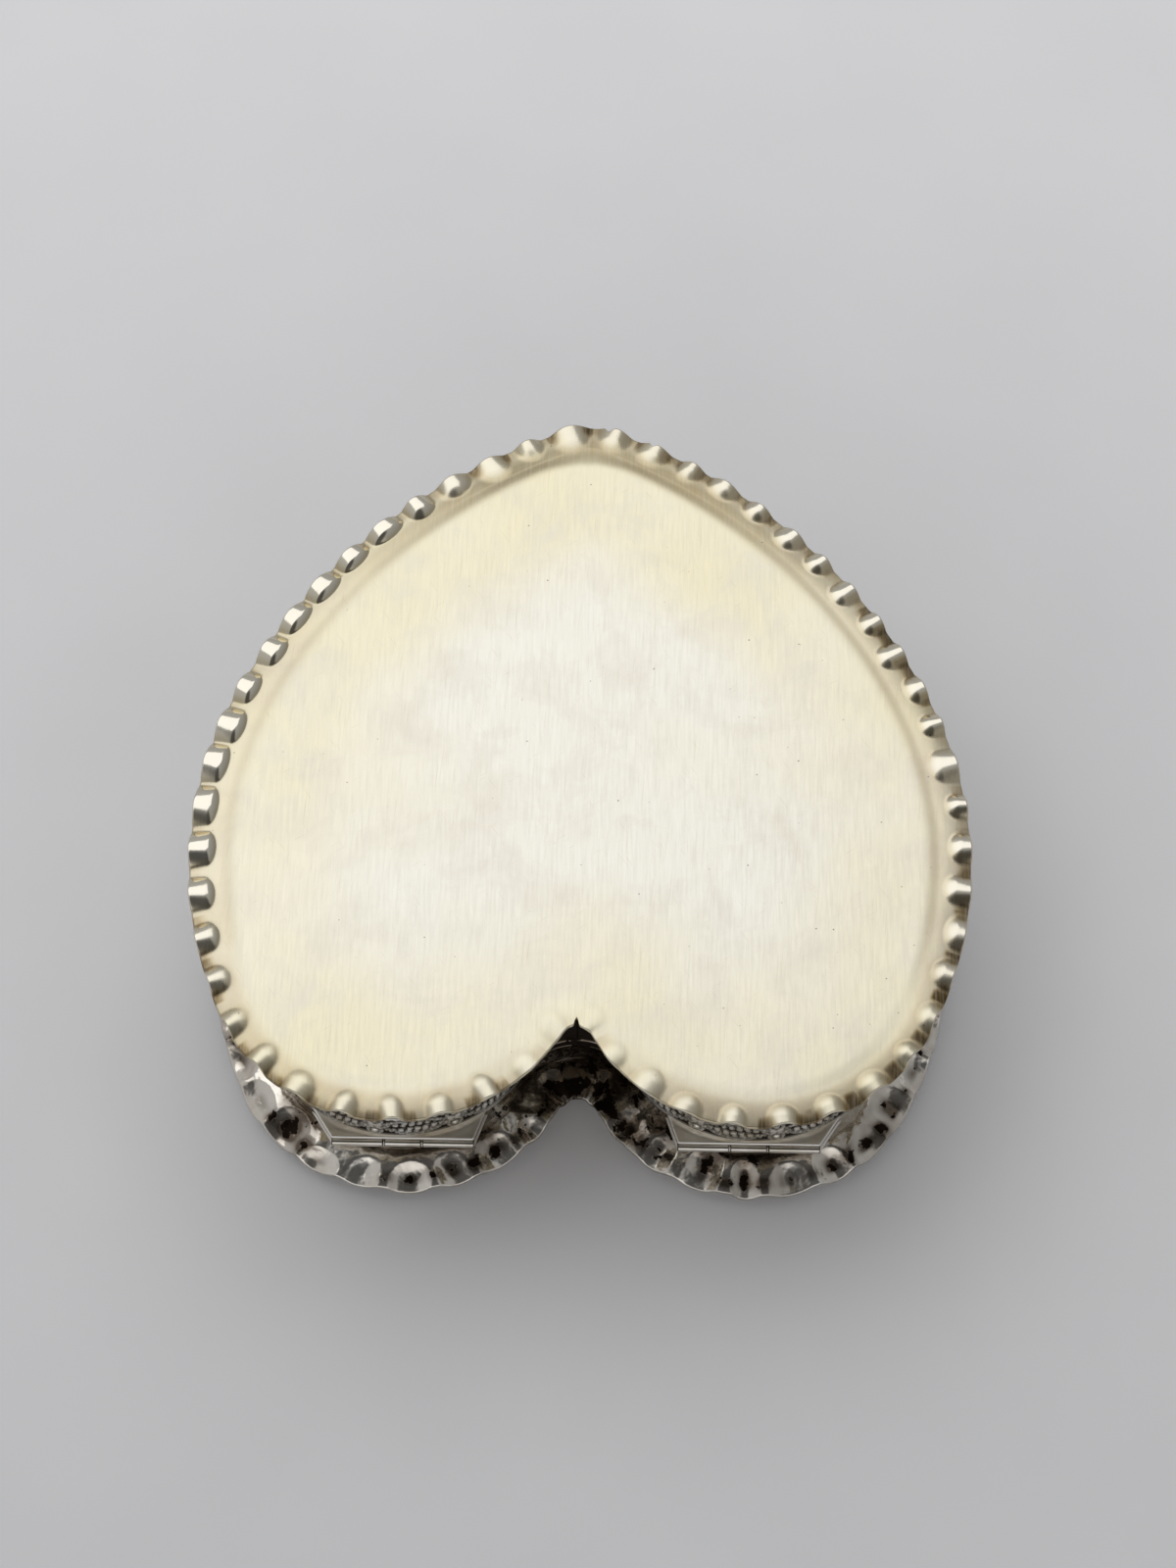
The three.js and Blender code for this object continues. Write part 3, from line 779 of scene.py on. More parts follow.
@dataclass
class BasePlate:
    """The box's foot, uppermost here: a raised satin field in a drooping, fluted rim."""

    flutes: FluteRow
    sheet: float = 0.6
    field_level: float = 34.05
    rim_depth: float = 4.6
    bouge_start: float = 4.3
    dent: float = 0.05
    edge_wander: float = 0.1
    level_wander: float = 0.1
    # How far the edge is drawn in between flutes, along the lobes, and more at the end of each flute there.
    valley_edge: float = 0.18
    lobe_edge: float = 0.2
    lobe_scallop: float = 0.45
    # The field's round tip: how far in it is, its radius, where it starts, and the depths it is sought in.
    tip_band: float = 8.3
    tip_bend: float = 27.0
    tip_from: tuple[float, float] = (0.74, 0.84)
    tip_depths: tuple[float, float, int] = (4.5, 10.5, 61)
    # Nicks in the edge: how many flutes round from the notch each is, and how deep. The first is a tear.
    nicks: tuple[tuple[float, float], ...] = ((0.0, 1.6), (25.55, 0.7), (26.6, 0.9))
    # The step down to the rim, its width, the rim's droop and its curve, at places from the notch to the tip.
    stretches: tuple[float, ...] = (0.0, 0.06, 0.14, 0.3, 0.5, 0.84, 0.93, 1.0)
    step: tuple[float, ...] = (0.0, 0.02, 0.06, 0.12, 0.17, 0.28, 0.42, 0.5)
    bouge: tuple[float, ...] = (2.5, 2.5, 2.5, 2.5, 2.4, 2.6, 2.6, 2.6)
    droop: tuple[float, ...] = (0.0, 0.12, 0.5, 0.7, 0.8, 0.95, 1.0, 1.0)
    droop_curve: tuple[float, ...] = (2.0, 2.0, 1.8, 1.7, 1.5, 1.2, 1.1, 1.1)
    # Between which places the lobes lie, a lobe gives way to the flank, and the right lobe is blotched.
    lobes: tuple[float, float, float, float] = (0.08, 0.16, 0.32, 0.42)
    lobe_end: tuple[float, float] = (0.3, 0.45)
    blotches: tuple[float, float, float, float] = (0.18, 0.23, 0.4, 0.5)
    blotch_depths: tuple[float, float] = (3.4, 1.7)
    blotch: float = 1.3
    # How tan the rim is at places from the notch to the tip, and how much more past the right lobe.
    tan_places: tuple[float, ...] = (0.04, 0.12, 0.3, 0.45, 0.75, 0.9)
    tan: tuple[float, ...] = (0.0, 0.46, 0.46, 0.24, 0.24, 0.32)
    right_tan: float = 0.1
    middle: tuple[float, float] = (0.0, 4.0)
    field_rows: int = 24

    def __post_init__(self) -> None:
        """Works out the depth at which each column reaches the field, whose tip is a round arc."""
        run, stations = self.flutes.run, self.flutes.stations
        plain = self.bouge_start + np.interp(run, self.stretches, self.bouge)
        depths = np.linspace(*self.tip_depths)
        places = np.array([PLAN.loop(depth, stations) for depth in depths])
        arc = PLAN.loop(0.0, stations)[:, 1].max() - self.tip_band - places[..., 0] ** 2 / (2 * self.tip_bend)
        reached = depths[0] + (depths[1] - depths[0]) * (places[..., 1] > arc).sum(0)
        wide = np.maximum(reached - plain, 0) * smooth(*self.tip_from, run)
        spread = np.ones(self.flutes.steps) / self.flutes.steps
        thrice = np.convolve(np.concatenate([wide, wide, wide]), spread, "same")
        self.field_start = plain + thrice[len(run):2 * len(run)]

    def level(self, depth: float) -> tuple[Array, ...]:
        """Gives the upper surface at a depth in from the edge.

        Args:
            depth: The depth.

        Returns:
            The height of each column, and how rubbed it is, its stains and tarnish with some painted shade,
            how polished it is, and its grey painted shade with some tarnish.
        """
        flutes = self.flutes
        which, swell = flutes.which, flutes.swell(depth)
        hang = max(1 - depth / self.rim_depth, 0.0)
        step, droop, curve = (np.interp(flutes.run, self.stretches, part)
                              for part in (self.step, self.droop, self.droop_curve))
        sunk = 1 - smooth(self.bouge_start, self.field_start, depth)
        drooped = droop * hang ** curve * (1 - flutes.level_crest[which] * swell)
        level = self.field_level - step * sunk - drooped + flutes.rise[which] * swell
        return level, *self.wear(depth, swell)

    def wear(self, depth: float, swell: Array) -> tuple[Array, ...]:
        """Gives the finish's masks at a depth in from the edge.

        Args:
            depth: The depth.
            swell: Each column's swelling there.

        Returns:
            How rubbed each column is, its stains and tarnish with some painted shade, how polished it is, and
            its grey painted shade with some tarnish.
        """
        flutes = self.flutes
        run, which, across = flutes.run, flutes.which, flutes.across(depth)
        rise, tarnish, polish = flutes.rise[which], flutes.tarnish[which], flutes.polish[which]
        shallow = np.float64(depth)
        right = np.arange(flutes.columns) < flutes.columns // 2
        past_lobe = smooth(*self.lobe_end, run)
        valley = (1 - swell) * smooth(3.0, 0.0, shallow - 0.4 - 0.4 * past_lobe)
        # A ring round each flute's end: painted shade outlining the swelling, with some tarnish.
        ring = np.exp(-((across - 0.85) / 0.25) ** 2) * smooth(5.6, 4.6, shallow)
        stains_and_painted_shade = tarnish * np.clip(valley + 0.35 * ring * rise, 0, 1)
        blotch = right * between(self.blotches, run)
        blotch *= smooth(0.8, 1.35, across) * smooth(*self.blotch_depths, shallow)
        stains_and_painted_shade = np.maximum(stains_and_painted_shade, self.blotch * blotch)
        toned = np.interp(run, self.tan_places, self.tan)
        toned = np.where(right, toned + self.right_tan * past_lobe, toned)
        toned *= 1 - (0.8 - 0.3 * past_lobe) * swell
        stains_and_painted_shade = np.maximum(stains_and_painted_shade, toned * smooth(2.8, 0.0, shallow - 3.0 - 2.2 * past_lobe))
        # Painted shade: brown on the front side of each flute past the right lobe, which is also kept from
        # being rubbed bright.
        near_side = (flutes.shifts[which] - flutes.local) / flutes.half_width[which]
        near = right * past_lobe * between((0.2, 0.55, 0.9, 1.3), near_side) * smooth(4.2, 2.0, shallow)
        stains_and_painted_shade = np.maximum(stains_and_painted_shade, 0.75 * near * tarnish)
        to_field = self.field_start - shallow
        # Painted shade: a grey band on the tip's step down to the field and a line along the field's edge,
        # with the flutes' rings.
        band = smooth(-0.5, 1.0, to_field) * smooth(1.8, 3.8, shallow) * (1 - swell) * smooth(0.7, 0.88, run)
        line = (0.26 + 0.16 * right) * np.exp(-((to_field - 1.0) / 0.8) ** 2) * past_lobe
        ringed = 1.2 * rise * (1 - 0.6 * smooth(0.32, 0.46, run))
        painted_shade_and_tarnish = np.maximum.reduce([band, line, ring * ringed])
        shining = polish * smooth(6.4, 4.6, shallow) * (0.25 + 0.75 * smooth(0.0, 0.2, swell))
        rubbed = swell * (0.25 + 0.75 * polish) * (1 - near)
        return rubbed, stains_and_painted_shade, shining, painted_shade_and_tarnish

    def build(self, finish: bpy.types.Material) -> bpy.types.Object:
        """Builds the plate: the field from its middle, the rim, its edge, and the back.

        Args:
            finish: Its material.

        Returns:
            The piece.
        """
        flutes = self.flutes
        rim_rows = np.concatenate([np.linspace(11.4, 5.3, 18), np.linspace(5.1, 0.16, 34)])
        edge_rows = [(0.04, 0.1), (0.0, 0.5), (0.04, 0.9)]
        back_rows = np.array([0.16, 0.7, 1.5, 2.3, 3.1, 3.9, 4.6, 5.3, 6.2, 7.2, 8.4, 11.4])
        crest = flutes.swell(0.0)
        edge = np.abs(flutes.wander(self.edge_wander, flutes.seed + 1)) + self.valley_edge * (1 - crest)
        edge += between(self.lobes, flutes.run) * (self.lobe_edge + self.lobe_scallop * crest)
        column = np.arange(flutes.columns)
        tear = np.zeros(flutes.columns)
        for place, deep in self.nicks:
            gap = np.abs(column - place * flutes.steps)
            tear += deep * np.exp(-(np.minimum(gap, flutes.columns - gap) / 1.2) ** 2)

        def ring(depth: float, share: float) -> tuple[Array, ...]:
            """Places one ring of the plate.

            Args:
                depth: How far in from the edge it lies.
                share: How much of the sheet it lies below the upper surface.

            Returns:
                Its points, the finish's masks there, and each point's depth.
            """
            near = math.exp(-depth / 1.6)
            flat = PLAN.loop(depth + edge * near + tear * math.exp(-depth / 0.9), flutes.stations)
            high, *masks = self.level(depth)
            return np.column_stack([flat, high - share * self.sheet]), *masks, np.full(flutes.columns, depth)

        rows = [ring(d, 0.0) for d in rim_rows] + [ring(d, s) for d, s in edge_rows]
        rows += [ring(d, 1.0) for d in back_rows]
        rings, swell, foot, polish, painted_shade_and_tarnish, depth = (np.array(part) for part in zip(*rows))
        shares = np.linspace(0.03, 1, self.field_rows, endpoint=False)[:, None, None]
        border = np.pad(np.repeat(shares[:, 0], flutes.columns, 1), ((0, len(rings) + 1), (0, 0)),
                        constant_values=1.0)
        inner = np.array([*self.middle, self.field_level]) * (1 - shares) + rings[0] * shares
        back = np.array([*self.middle, self.field_level - self.sheet]) * 0.4 + rings[-1] * 0.6
        rings = np.concatenate([inner, rings, back[None]])
        around = ((self.field_rows, 1), (0, 0))
        swell, foot, polish, painted_shade_and_tarnish = (np.pad(part, around) for part in (swell, foot, polish, painted_shade_and_tarnish))
        depth = np.pad(depth, around, constant_values=20.0)
        rings[..., 2] += self.dent * ripple(rings[..., :2], 23, 5) * smooth(2.0, 9.0, depth)
        rings[..., 2] += flutes.wander(self.level_wander, 9) * smooth(6.5, 1.0, depth)
        rings[..., 2] = np.minimum(rings[..., 2], CAD_BOX[1].z / MM)
        y = rings[..., 1]
        border = smooth(0.45, 1.0, border) * (0.5 + 0.8 * smooth(-50, 50, y) + 0.4 * smooth(-30, -48, y))
        # foot is stains and tarnish with some painted shade; the grey mask is painted shade with some
        # tarnish.
        masks = {"rim": polish, "swell": swell, "foot": foot, "painted_shade_and_tarnish": painted_shade_and_tarnish, "border": border}
        piece = skin("base_plate_satin", rings, masks=masks)
        return dress(piece, finish, Body.BOX, Slot.SATIN, "base_plate")


@dataclass
class LidPanel:
    """The lid, lying on the table: a shallow dish whose rim shows its flutes from behind."""

    flutes: FluteRow
    set_in: float = 0.7
    sheet: float = 0.7
    land_level: float = 5.75
    droop: float = 1.5
    droop_curve: float = 1.25
    rim_depth: float = 5.6
    land_end: float = 8.75
    crown_edge: float = 14.25
    gadroon: float = 0.4
    edge_wander: float = 0.12
    valley_edge: float = 0.15
    level_wander: float = 0.12
    # The rim's unevenness: each wave's length, its seed, its height, and its further height below the hinges.
    uneven: tuple[tuple[float, int, float, float], ...] = ((6, 31, 0.06, 0.0), (3.2, 47, 0.02, 0.03),
                                                            (1.5, 53, 0.006, 0.006))
    crown_rows: int = 9
    middle: tuple[float, float] = (0.0, 4.0)

    def under(self, inset: float) -> Array:
        """Gives the outer face, which is underneath, at an inset from the plan.

        Args:
            inset: The inset.

        Returns:
            The height of each column.
        """
        depth = inset - self.set_in
        flutes = self.flutes
        hang = min(max(1 - depth / self.rim_depth, 0.0), 1.0)
        swell = flutes.swell(max(depth, 0.0))
        level = self.land_level - self.sheet - self.droop * hang ** self.droop_curve
        level = level - flutes.rise[flutes.which] * swell
        fall = smooth(self.land_end - 1.2, self.crown_edge, np.float64(inset))
        lobes = np.cos(flutes.local / np.abs(flutes.local).max() * math.pi / 2) ** 2
        ribs = self.gadroon * lobes * math.sin(math.pi * min(max(float(fall), 0.0), 1.0)) ** 1.5
        return level * (1 - fall) - ribs * (1 - fall)

    def build(self, finish: bpy.types.Material) -> bpy.types.Object:
        """Builds the lid: the crown and rim from underneath, the edge, then the inside.

        Args:
            finish: Its material.

        Returns:
            The piece.
        """
        flutes = self.flutes
        start, end = self.set_in + 0.16, self.crown_edge
        below = np.concatenate([np.linspace(end, 6.4, 18), np.linspace(6.1, start, 22)])
        above = np.concatenate([np.linspace(start, 6.1, 25), np.linspace(6.4, end, 14)])
        edge_rows = [(self.set_in + 0.04, 0.1), (self.set_in, 0.5), (self.set_in + 0.04, 0.9)]
        edge = np.abs(flutes.wander(self.edge_wander, flutes.seed + 1))
        edge += self.valley_edge * (1 - flutes.swell(0.0))

        def ring(inset: float, share: float) -> tuple[Array, Array, Array]:
            """Places one ring of the lid.

            Args:
                inset: How far in from the plan it lies.
                share: How much of the sheet it lies above the outer face.

            Returns:
                Its points, how far the flutes swell there, and each point's inset.
            """
            depth = inset - self.set_in
            flat = PLAN.loop(inset + edge * math.exp(-depth / 1.6), flutes.stations)
            places = np.column_stack([flat, self.under(inset) + share * self.sheet])
            return places, flutes.swell(max(depth, 0.0)), np.full(flutes.columns, inset)

        rows = [ring(d, 0.0) for d in below] + [ring(d, s) for d, s in edge_rows]
        rows += [ring(d, 1.0) for d in above]
        rings, swell, inset = (np.array(part) for part in zip(*rows))
        crown, inside = rings[0].copy(), rings[-1].copy()
        shares = np.linspace(0.08, 1, self.crown_rows, endpoint=False)[:, None, None]
        crown = np.array([*self.middle, 0.0]) * (1 - shares) + crown * shares
        inside = np.array([*self.middle, self.sheet]) * (1 - shares[::-1]) + inside * shares[::-1]
        rings = np.concatenate([crown, rings, inside])
        swell, inset = (np.pad(part, ((self.crown_rows,) * 2, (0, 0)), constant_values=fill)
                        for part, fill in ((swell, 0.0), (inset, 20.0)))
        rim = smooth(8.5, 6.5, inset)
        x, y = rings[..., 0], rings[..., 1]
        below_hinges = smooth(-40, -50, y) * smooth(50, 38, np.abs(x))
        uneven = sum((high + more * below_hinges) * ripple(rings[..., :2], length, seed)
                     for length, seed, high, more in self.uneven)
        rings[..., 2] += rim * (uneven + flutes.wander(self.level_wander, 17))
        rings[..., 2] = np.maximum(rings[..., 2], 0.0)
        upper = np.zeros(rings.shape[:2])
        upper[self.crown_rows + len(below) + 1:] = 1
        grime_and_painted_shade = self.grime_and_painted_shade(rings, inset, swell, upper, below_hinges)
        piece = skin("lid_panel_fluted", rings, masks={"grime_and_painted_shade": grime_and_painted_shade})
        return dress(piece, finish, Body.LID, Slot.POLISHED, "lid_panel")

    def grime_and_painted_shade(self, places: Array, inset: Array, swell: Array, upper: Array, below_hinges: Array) -> Array:
        """Gives how much tarnish the lid has, by the skirt and in spots round the rim, with crust and painted
        shade in the notch; it is also darker by the skirt under the hinges and on the right front.

        Args:
            places: The lid's points.
            inset: Their insets.
            swell: How far the flutes swell there.
            upper: 1 on the face that is up here, and 0 underneath.
            below_hinges: 1 under the hinges, and 0 away from them.

        Returns:
            A number from 0 to 1 for each point.
        """
        x, y, depth = places[..., 0], places[..., 1], inset - self.set_in
        in_notch = np.exp(-(x / 15) ** 2) * smooth(-54, -47, y)
        corner = between((4.4, 6.4, 8.0, 9.5), inset)
        right_foot = between((2, 12, 30, 38), x) * smooth(-40, -50, y)
        patches = 0.5 + 0.5 * ripple(places[..., :2], 17, 44)
        spot = swell ** 4 * smooth(0.8, 1.8, depth)
        ridge = (1 - swell) ** 3 * np.exp(-((depth - 1.8) / 1.0) ** 2)
        # In the notch the mask is raised as painted shade over the crust; under the hinges it is darker by
        # the skirt.
        rim = 0.06 + (0.12 + 0.3 * below_hinges) * corner + 0.4 * in_notch + 0.2 * right_foot
        rim += 0.26 * smooth(0.7, 1.0, patches) * (1 - swell) + (0.3 + 0.5 * patches) * ridge
        rim += (0.02 + 0.1 * patches) * swell + (0.3 + 0.45 * patches) * spot
        inside = smooth(8.2, 9.0, inset)
        shown = upper * ((1 - inside) * rim + 0.1 * inside) + (1 - upper) * 0.2 * (1 - swell)
        return np.clip(shown, 0, 1)


@dataclass
class HeartBand:
    """A drawn silver band bent round the heart, given by its closed section."""

    name: str
    section: list[tuple[float, float]]
    body: Body
    node: str
    steps: int = 260
    even_on: float = 7.0
    # How much tarnish it has at its foot and its head, how much painted shade darkens it in the notch, and
    # how many columns that takes up.
    grime_and_painted_shade: tuple[float, float] = (0.35, 0.1)
    notch_painted_shade: float = 0.7
    notch_columns: tuple[int, int] = (26, 12)

    def build(self, finish: bpy.types.Material) -> bpy.types.Object:
        """Bends the section round the plan.

        Args:
            finish: Its material.

        Returns:
            The piece.
        """
        stations = PLAN.stations(self.steps, self.even_on)
        rings = [np.column_stack([PLAN.loop(inset, stations), np.full(2 * self.steps, level)])
                 for inset, level in self.section]
        levels = np.array([level for _, level in self.section])
        share = (levels - levels.min()) / np.ptp(levels)
        low, high = self.grime_and_painted_shade
        grime_and_painted_shade = np.repeat((low + (high - low) * share)[:, None], 2 * self.steps, 1)
        column = np.arange(2 * self.steps)
        from_notch = np.minimum(column, 2 * self.steps - column)
        # Painted shade: darker in the notch.
        grime_and_painted_shade = np.maximum(grime_and_painted_shade, self.notch_painted_shade * smooth(*self.notch_columns, from_notch))
        piece = skin(self.name, np.array(rings), joined=True, masks={"grime_and_painted_shade": grime_and_painted_shade})
        return dress(piece, finish, self.body, Slot.POLISHED, self.node)


def rounded(points: Sequence[tuple[float, float]], radius: float,
            steps: int = 4) -> list[tuple[float, float]]:
    """Rounds the corners of a closed section.

    Args:
        points: Its corners.
        radius: The corners' radius, less where a side is short.
        steps: Steps on each corner.

    Returns:
        The points of the rounded section.
    """
    made = []
    count = len(points)
    most_of_side = 0.45
    for i in range(count):
        here = np.array(points[i])
        sides = [np.array(points[i - 1]) - here, np.array(points[(i + 1) % count]) - here]
        cuts = [side / np.linalg.norm(side) * min(radius, np.linalg.norm(side) * most_of_side)
                for side in sides]
        for t in np.linspace(0, 1, steps + 1):
            made.append(tuple(here + cuts[0] * (1 - t) ** 2 + cuts[1] * t ** 2))
    return made


@dataclass
class ChasedFrieze:
    """A running scroll for the walls: a waving stem, spirals that end in rosettes, and leaves."""

    length: float
    height: float = 15.4
    half_waves: int = 11
    scale: float = 0.8
    border_middle: float = -10.0
    border_height: float = 3.9
    border_leaf: float = 11.6
    stem_wave: float = 5.9
    stem_width: float = 0.75
    rosette_radius: float = 2.5
    rosette_level: float = 1.3
    spiral_radii: tuple[float, float] = (6.9, 3.1)
    cord_half_width: float = 0.42
    cord_twist: float = 1.15
    # Between which distances from the notch the frieze comes up out of the plain wall.
    rises: tuple[float, float] = (7.0, 12.0)
    # Each leaf's foot, its direction in degrees, its length, its half width and its curl.
    leaves: tuple[tuple[float, ...], ...] = (
        (-6.6, 4.6, 128, 5.2, 1.7, 0.5), (-3.2, 7.0, 95, 2.9, 1.2, 0.4), (5.4, 5.2, 38, 5.2, 1.8, -0.6),
        (2.2, 7.1, 70, 3.0, 1.2, -0.4), (6.6, -2.2, 58, 4.6, 1.5, 0.6), (-6.3, -2.6, 118, 4.0, 1.4, -0.5),
        (-1.6, -5.6, -118, 3.4, 1.2, 0.5), (2.4, -5.3, -55, 3.6, 1.3, -0.5), (7.2, 0.6, -8, 3.4, 1.2, 0.6),
    )

    def stroke(self, x: Array, y: Array, path: Array, width: Array) -> Array:
        """Raises a rounded stroke along a path.

        Args:
            x: Places along the wall.
            y: Places up it.
            path: The path's points.
            width: Its half width at each point.

        Returns:
            The stroke's height, from 0 to 1.
        """
        gap = np.hypot(x[:, None] - path[:, 0], y[:, None] - path[:, 1]) / width
        return np.sqrt(np.clip(1 - gap.min(1) ** 2, 0, 1))

    def leaf(self, x: Array, y: Array, shape: tuple[float, ...]) -> Array:
        """Raises one pointed leaf with a cut edge, a sunk rib and hatched sides.

        Args:
            x: Places along the wall.
            y: Places up it.
            shape: A row of leaves.

        Returns:
            The leaf's height, from 0 to 1.
        """
        foot_x, foot_y, angle, length, half_width, curl = shape
        turn = math.radians(angle)
        along = ((x - foot_x) * math.cos(turn) + (y - foot_y) * math.sin(turn)) / length
        across = -(x - foot_x) * math.sin(turn) + (y - foot_y) * math.cos(turn) - curl * along ** 2
        inside = np.clip(along, 0, 1)
        edge = half_width * np.sin(math.pi * inside ** 0.75) * (1 + 0.2 * np.sin(math.pi * 7 * inside))
        body = np.clip(1 - (across / np.maximum(edge, 0.05)) ** 2, 0, 1) ** 0.5
        rib = 1 - 0.55 * np.exp(-(across / 0.16) ** 2)
        hatch = 1 - 0.22 * (np.sin(2 * math.pi * (along * length - np.abs(across) * 0.8) / 0.8) > 0.35)
        return np.where((along > 0) & (along < 1), body * rib * hatch, 0.0)

    def cell(self, x: Array, y: Array) -> Array:
        """Raises one half wave of the scroll.

        Args:
            x: Places along the wall, from the half wave's middle.
            y: Places up it, from its middle.

        Returns:
            The height, from 0 to 1.
        """
        x, y = x / self.scale, y / self.scale
        half = self.length / self.half_waves / self.scale
        run = np.linspace(-half * 0.5, half * 0.5, 60)
        stem = np.column_stack([run, -self.stem_wave * np.cos(math.pi * run / half)])
        turn = np.linspace(0, 1, 120)
        angle = math.pi * (1.0 - 2.35 * turn)
        radius = self.spiral_radii[0] + (self.spiral_radii[1] - self.spiral_radii[0]) * turn ** 0.85
        spiral = np.column_stack([radius * np.cos(angle), self.rosette_level + radius * np.sin(angle)])
        height = np.maximum(self.stroke(x, y, stem, np.full(60, self.stem_width)),
                            self.stroke(x, y, spiral, self.stem_width * (1 - 0.35 * turn)))
        away = np.hypot(x, y - self.rosette_level)
        round_it = np.arctan2(y - self.rosette_level, x)
        petal = self.rosette_radius * (0.7 + 0.3 * np.abs(np.cos(3 * round_it)))
        flower = np.clip(1 - (away / petal) ** 4, 0, 1) * (0.62 + 0.3 * np.abs(np.cos(3 * round_it)))
        boss = np.sqrt(np.clip(1 - (away / 0.85) ** 2, 0, 1)) * 1.05
        height = np.maximum.reduce([height, flower, boss])
        for shape in self.leaves:
            height = np.maximum(height, 0.85 * self.leaf(x, y, shape))
        return height

    def border(self, along: Array, up: Array) -> Array:
        """Raises the border under the scroll: pointed, hatched leaves end to end, with beads between.

        Args:
            along: Places along the wall from the notch.
            up: Places up it from the scroll's middle.

        Returns:
            The height, from 0 to 1.
        """
        x = 2 * (along / self.border_leaf % 1) - 1
        y = (up - self.border_middle) / (self.border_height / 2)
        edge = 1 - np.abs(x) ** 1.5
        inside = np.clip(edge - np.abs(y), 0, None)
        cuts = smooth(0.1, 0.75, np.sin(2 * math.pi * (along + y * 0.6) / 1.15)) * smooth(0.22, 0.34, inside)
        cuts = np.maximum(cuts, smooth(0.16, 0.05, np.abs(y + 0.25 * x)) * (inside > 0.2))
        cuts = np.maximum(cuts, np.exp(-((inside - 0.24) / 0.06) ** 2))
        leaf = np.where(inside > 0.02, 0.72 - 0.66 * cuts, 0.0)
        leaf = np.maximum(leaf, 0.9 * np.exp(-((edge - np.abs(y) - 0.1) / 0.07) ** 2) * (np.abs(x) < 0.97))
        bead = np.sqrt(np.clip(1 - ((1 - np.abs(x)) / 0.1) ** 2 - ((np.abs(y) - 0.62) / 0.26) ** 2, 0, 1))
        from_eye = np.hypot((1 - np.abs(x)) * 2.4, np.abs(y) - 0.55)
        curl = np.exp(-((from_eye - 0.42) / 0.09) ** 2) * (edge < np.abs(y))
        return np.maximum.reduce([leaf, bead, 0.85 * curl]) * (np.abs(y) < 1)

    def relief(self, along: Array, up: Array) -> Array:
        """Raises the whole frieze, plain in the notch.

        Args:
            along: Places along the wall from the notch.
            up: Places up the frieze from its middle.

        Returns:
            The height, from 0 to 1.
        """
        half = self.length / self.half_waves
        which = np.floor(along / half)
        hand = np.where(which % 2 == 0, 1.0, -1.0)
        x, y = along - (which + 0.5) * half, up * hand
        height = np.maximum.reduce([self.cell(x, y), self.cell(x - half, -y), self.cell(x + half, -y)])
        height *= smooth(self.height / 2, self.height / 2 - 0.5, np.abs(up))
        from_cord = np.abs(up) - self.height / 2 - 0.1
        cord = np.clip(1 - (from_cord / self.cord_half_width) ** 2, 0, 1) ** 0.5
        cord *= 0.65 + 0.35 * np.abs(np.sin(math.pi * (along + up * 0.3) / self.cord_twist))
        return np.maximum.reduce([height, cord, self.border(along, up)]) * smooth(*self.rises, along)


@dataclass
class ChasedWall:
    """One half of the wall, raised into a frieze from the inside and chased from the outside."""

    hand: Hand
    outer: float = 7.0
    inner: float = 7.75
    foot: float = 10.97
    head: float = 33.4
    frieze_middle: float = 25.4
    ground: float = 0.12
    raised: float = 0.5
    seam: float = 0.03
    tip_drop: float = 0.5
    flare: float = 0.8
    flare_top: float = 17.5
    # How far from the notch the wall is plain, and how far out plain stretches lie, as a share of the relief.
    plain_end: float = 9.0
    plain_level: float = 0.55
    margin: float = 0.4
    grid: float = 0.27

    def build(self, finish: bpy.types.Material) -> bpy.types.Object:
        """Builds the half as a sheet with its relief on the outer face.

        Args:
            finish: Its material.

        Returns:
            The piece.
        """
        length = PLAN.half_length(self.outer)
        steps = round(length / self.grid)
        stations = PLAN.stations(steps, self.outer)
        levels = np.linspace(self.foot, self.head, round((self.head - self.foot) / self.grid))
        frieze = ChasedFrieze(length)
        along, high = np.meshgrid(np.linspace(0, length, steps + 1), levels)
        relief = frieze.relief(along.ravel(), high.ravel() - self.frieze_middle).reshape(along.shape)
        foot = self.frieze_middle + frieze.border_middle - frieze.border_height / 2
        above = high > self.frieze_middle + frieze.height / 2 + self.margin
        plain = above | (high < foot) | (along < self.plain_end)
        out = np.where(plain, self.plain_level, relief)
        out += 0.05 * ripple(np.stack([along, high], -1), 14, 3 + self.hand.value)
        flare = self.flare / self.raised * smooth(self.flare_top, foot - self.margin, high)
        out += flare * smooth(foot - self.margin, foot, high) * smooth(4.0, 12.0, along)
        outside = [np.column_stack([PLAN.half(self.outer + self.ground - self.raised * row, stations),
                                    np.full(steps + 1, level)]) for row, level in zip(out, levels)]
        inside = [np.column_stack([PLAN.half(self.inner, stations), np.full(steps + 1, level)])
                  for level in levels[::-6]]
        rings = np.array(outside + inside)
        rings[..., 2] -= self.tip_drop * smooth(0.78, 0.95, np.linspace(0, 1, steps + 1)) * (
            (rings[..., 2] - self.foot) / (self.head - self.foot)) ** 4
        rings[..., 0] = np.maximum(rings[..., 0], self.seam) * self.hand.value
        # Relief sets the oxide; the plain wall gets darker towards the notch, as painted shade.
        painted_shade_and_tarnish = np.where(plain, 0.12 + 0.4 * smooth(6.0, 14.0, along), relief)
        shown = np.concatenate([painted_shade_and_tarnish, np.full((len(inside), steps + 1), 0.6)])
        piece = skin(f"wall_{self.hand.name.lower()}_chased", rings, joined=True, open_ends=True,
                     masks={"relief": shown})
        return dress(piece, finish, Body.BOX, Slot.CHASED, f"wall_{self.hand.name.lower()}")


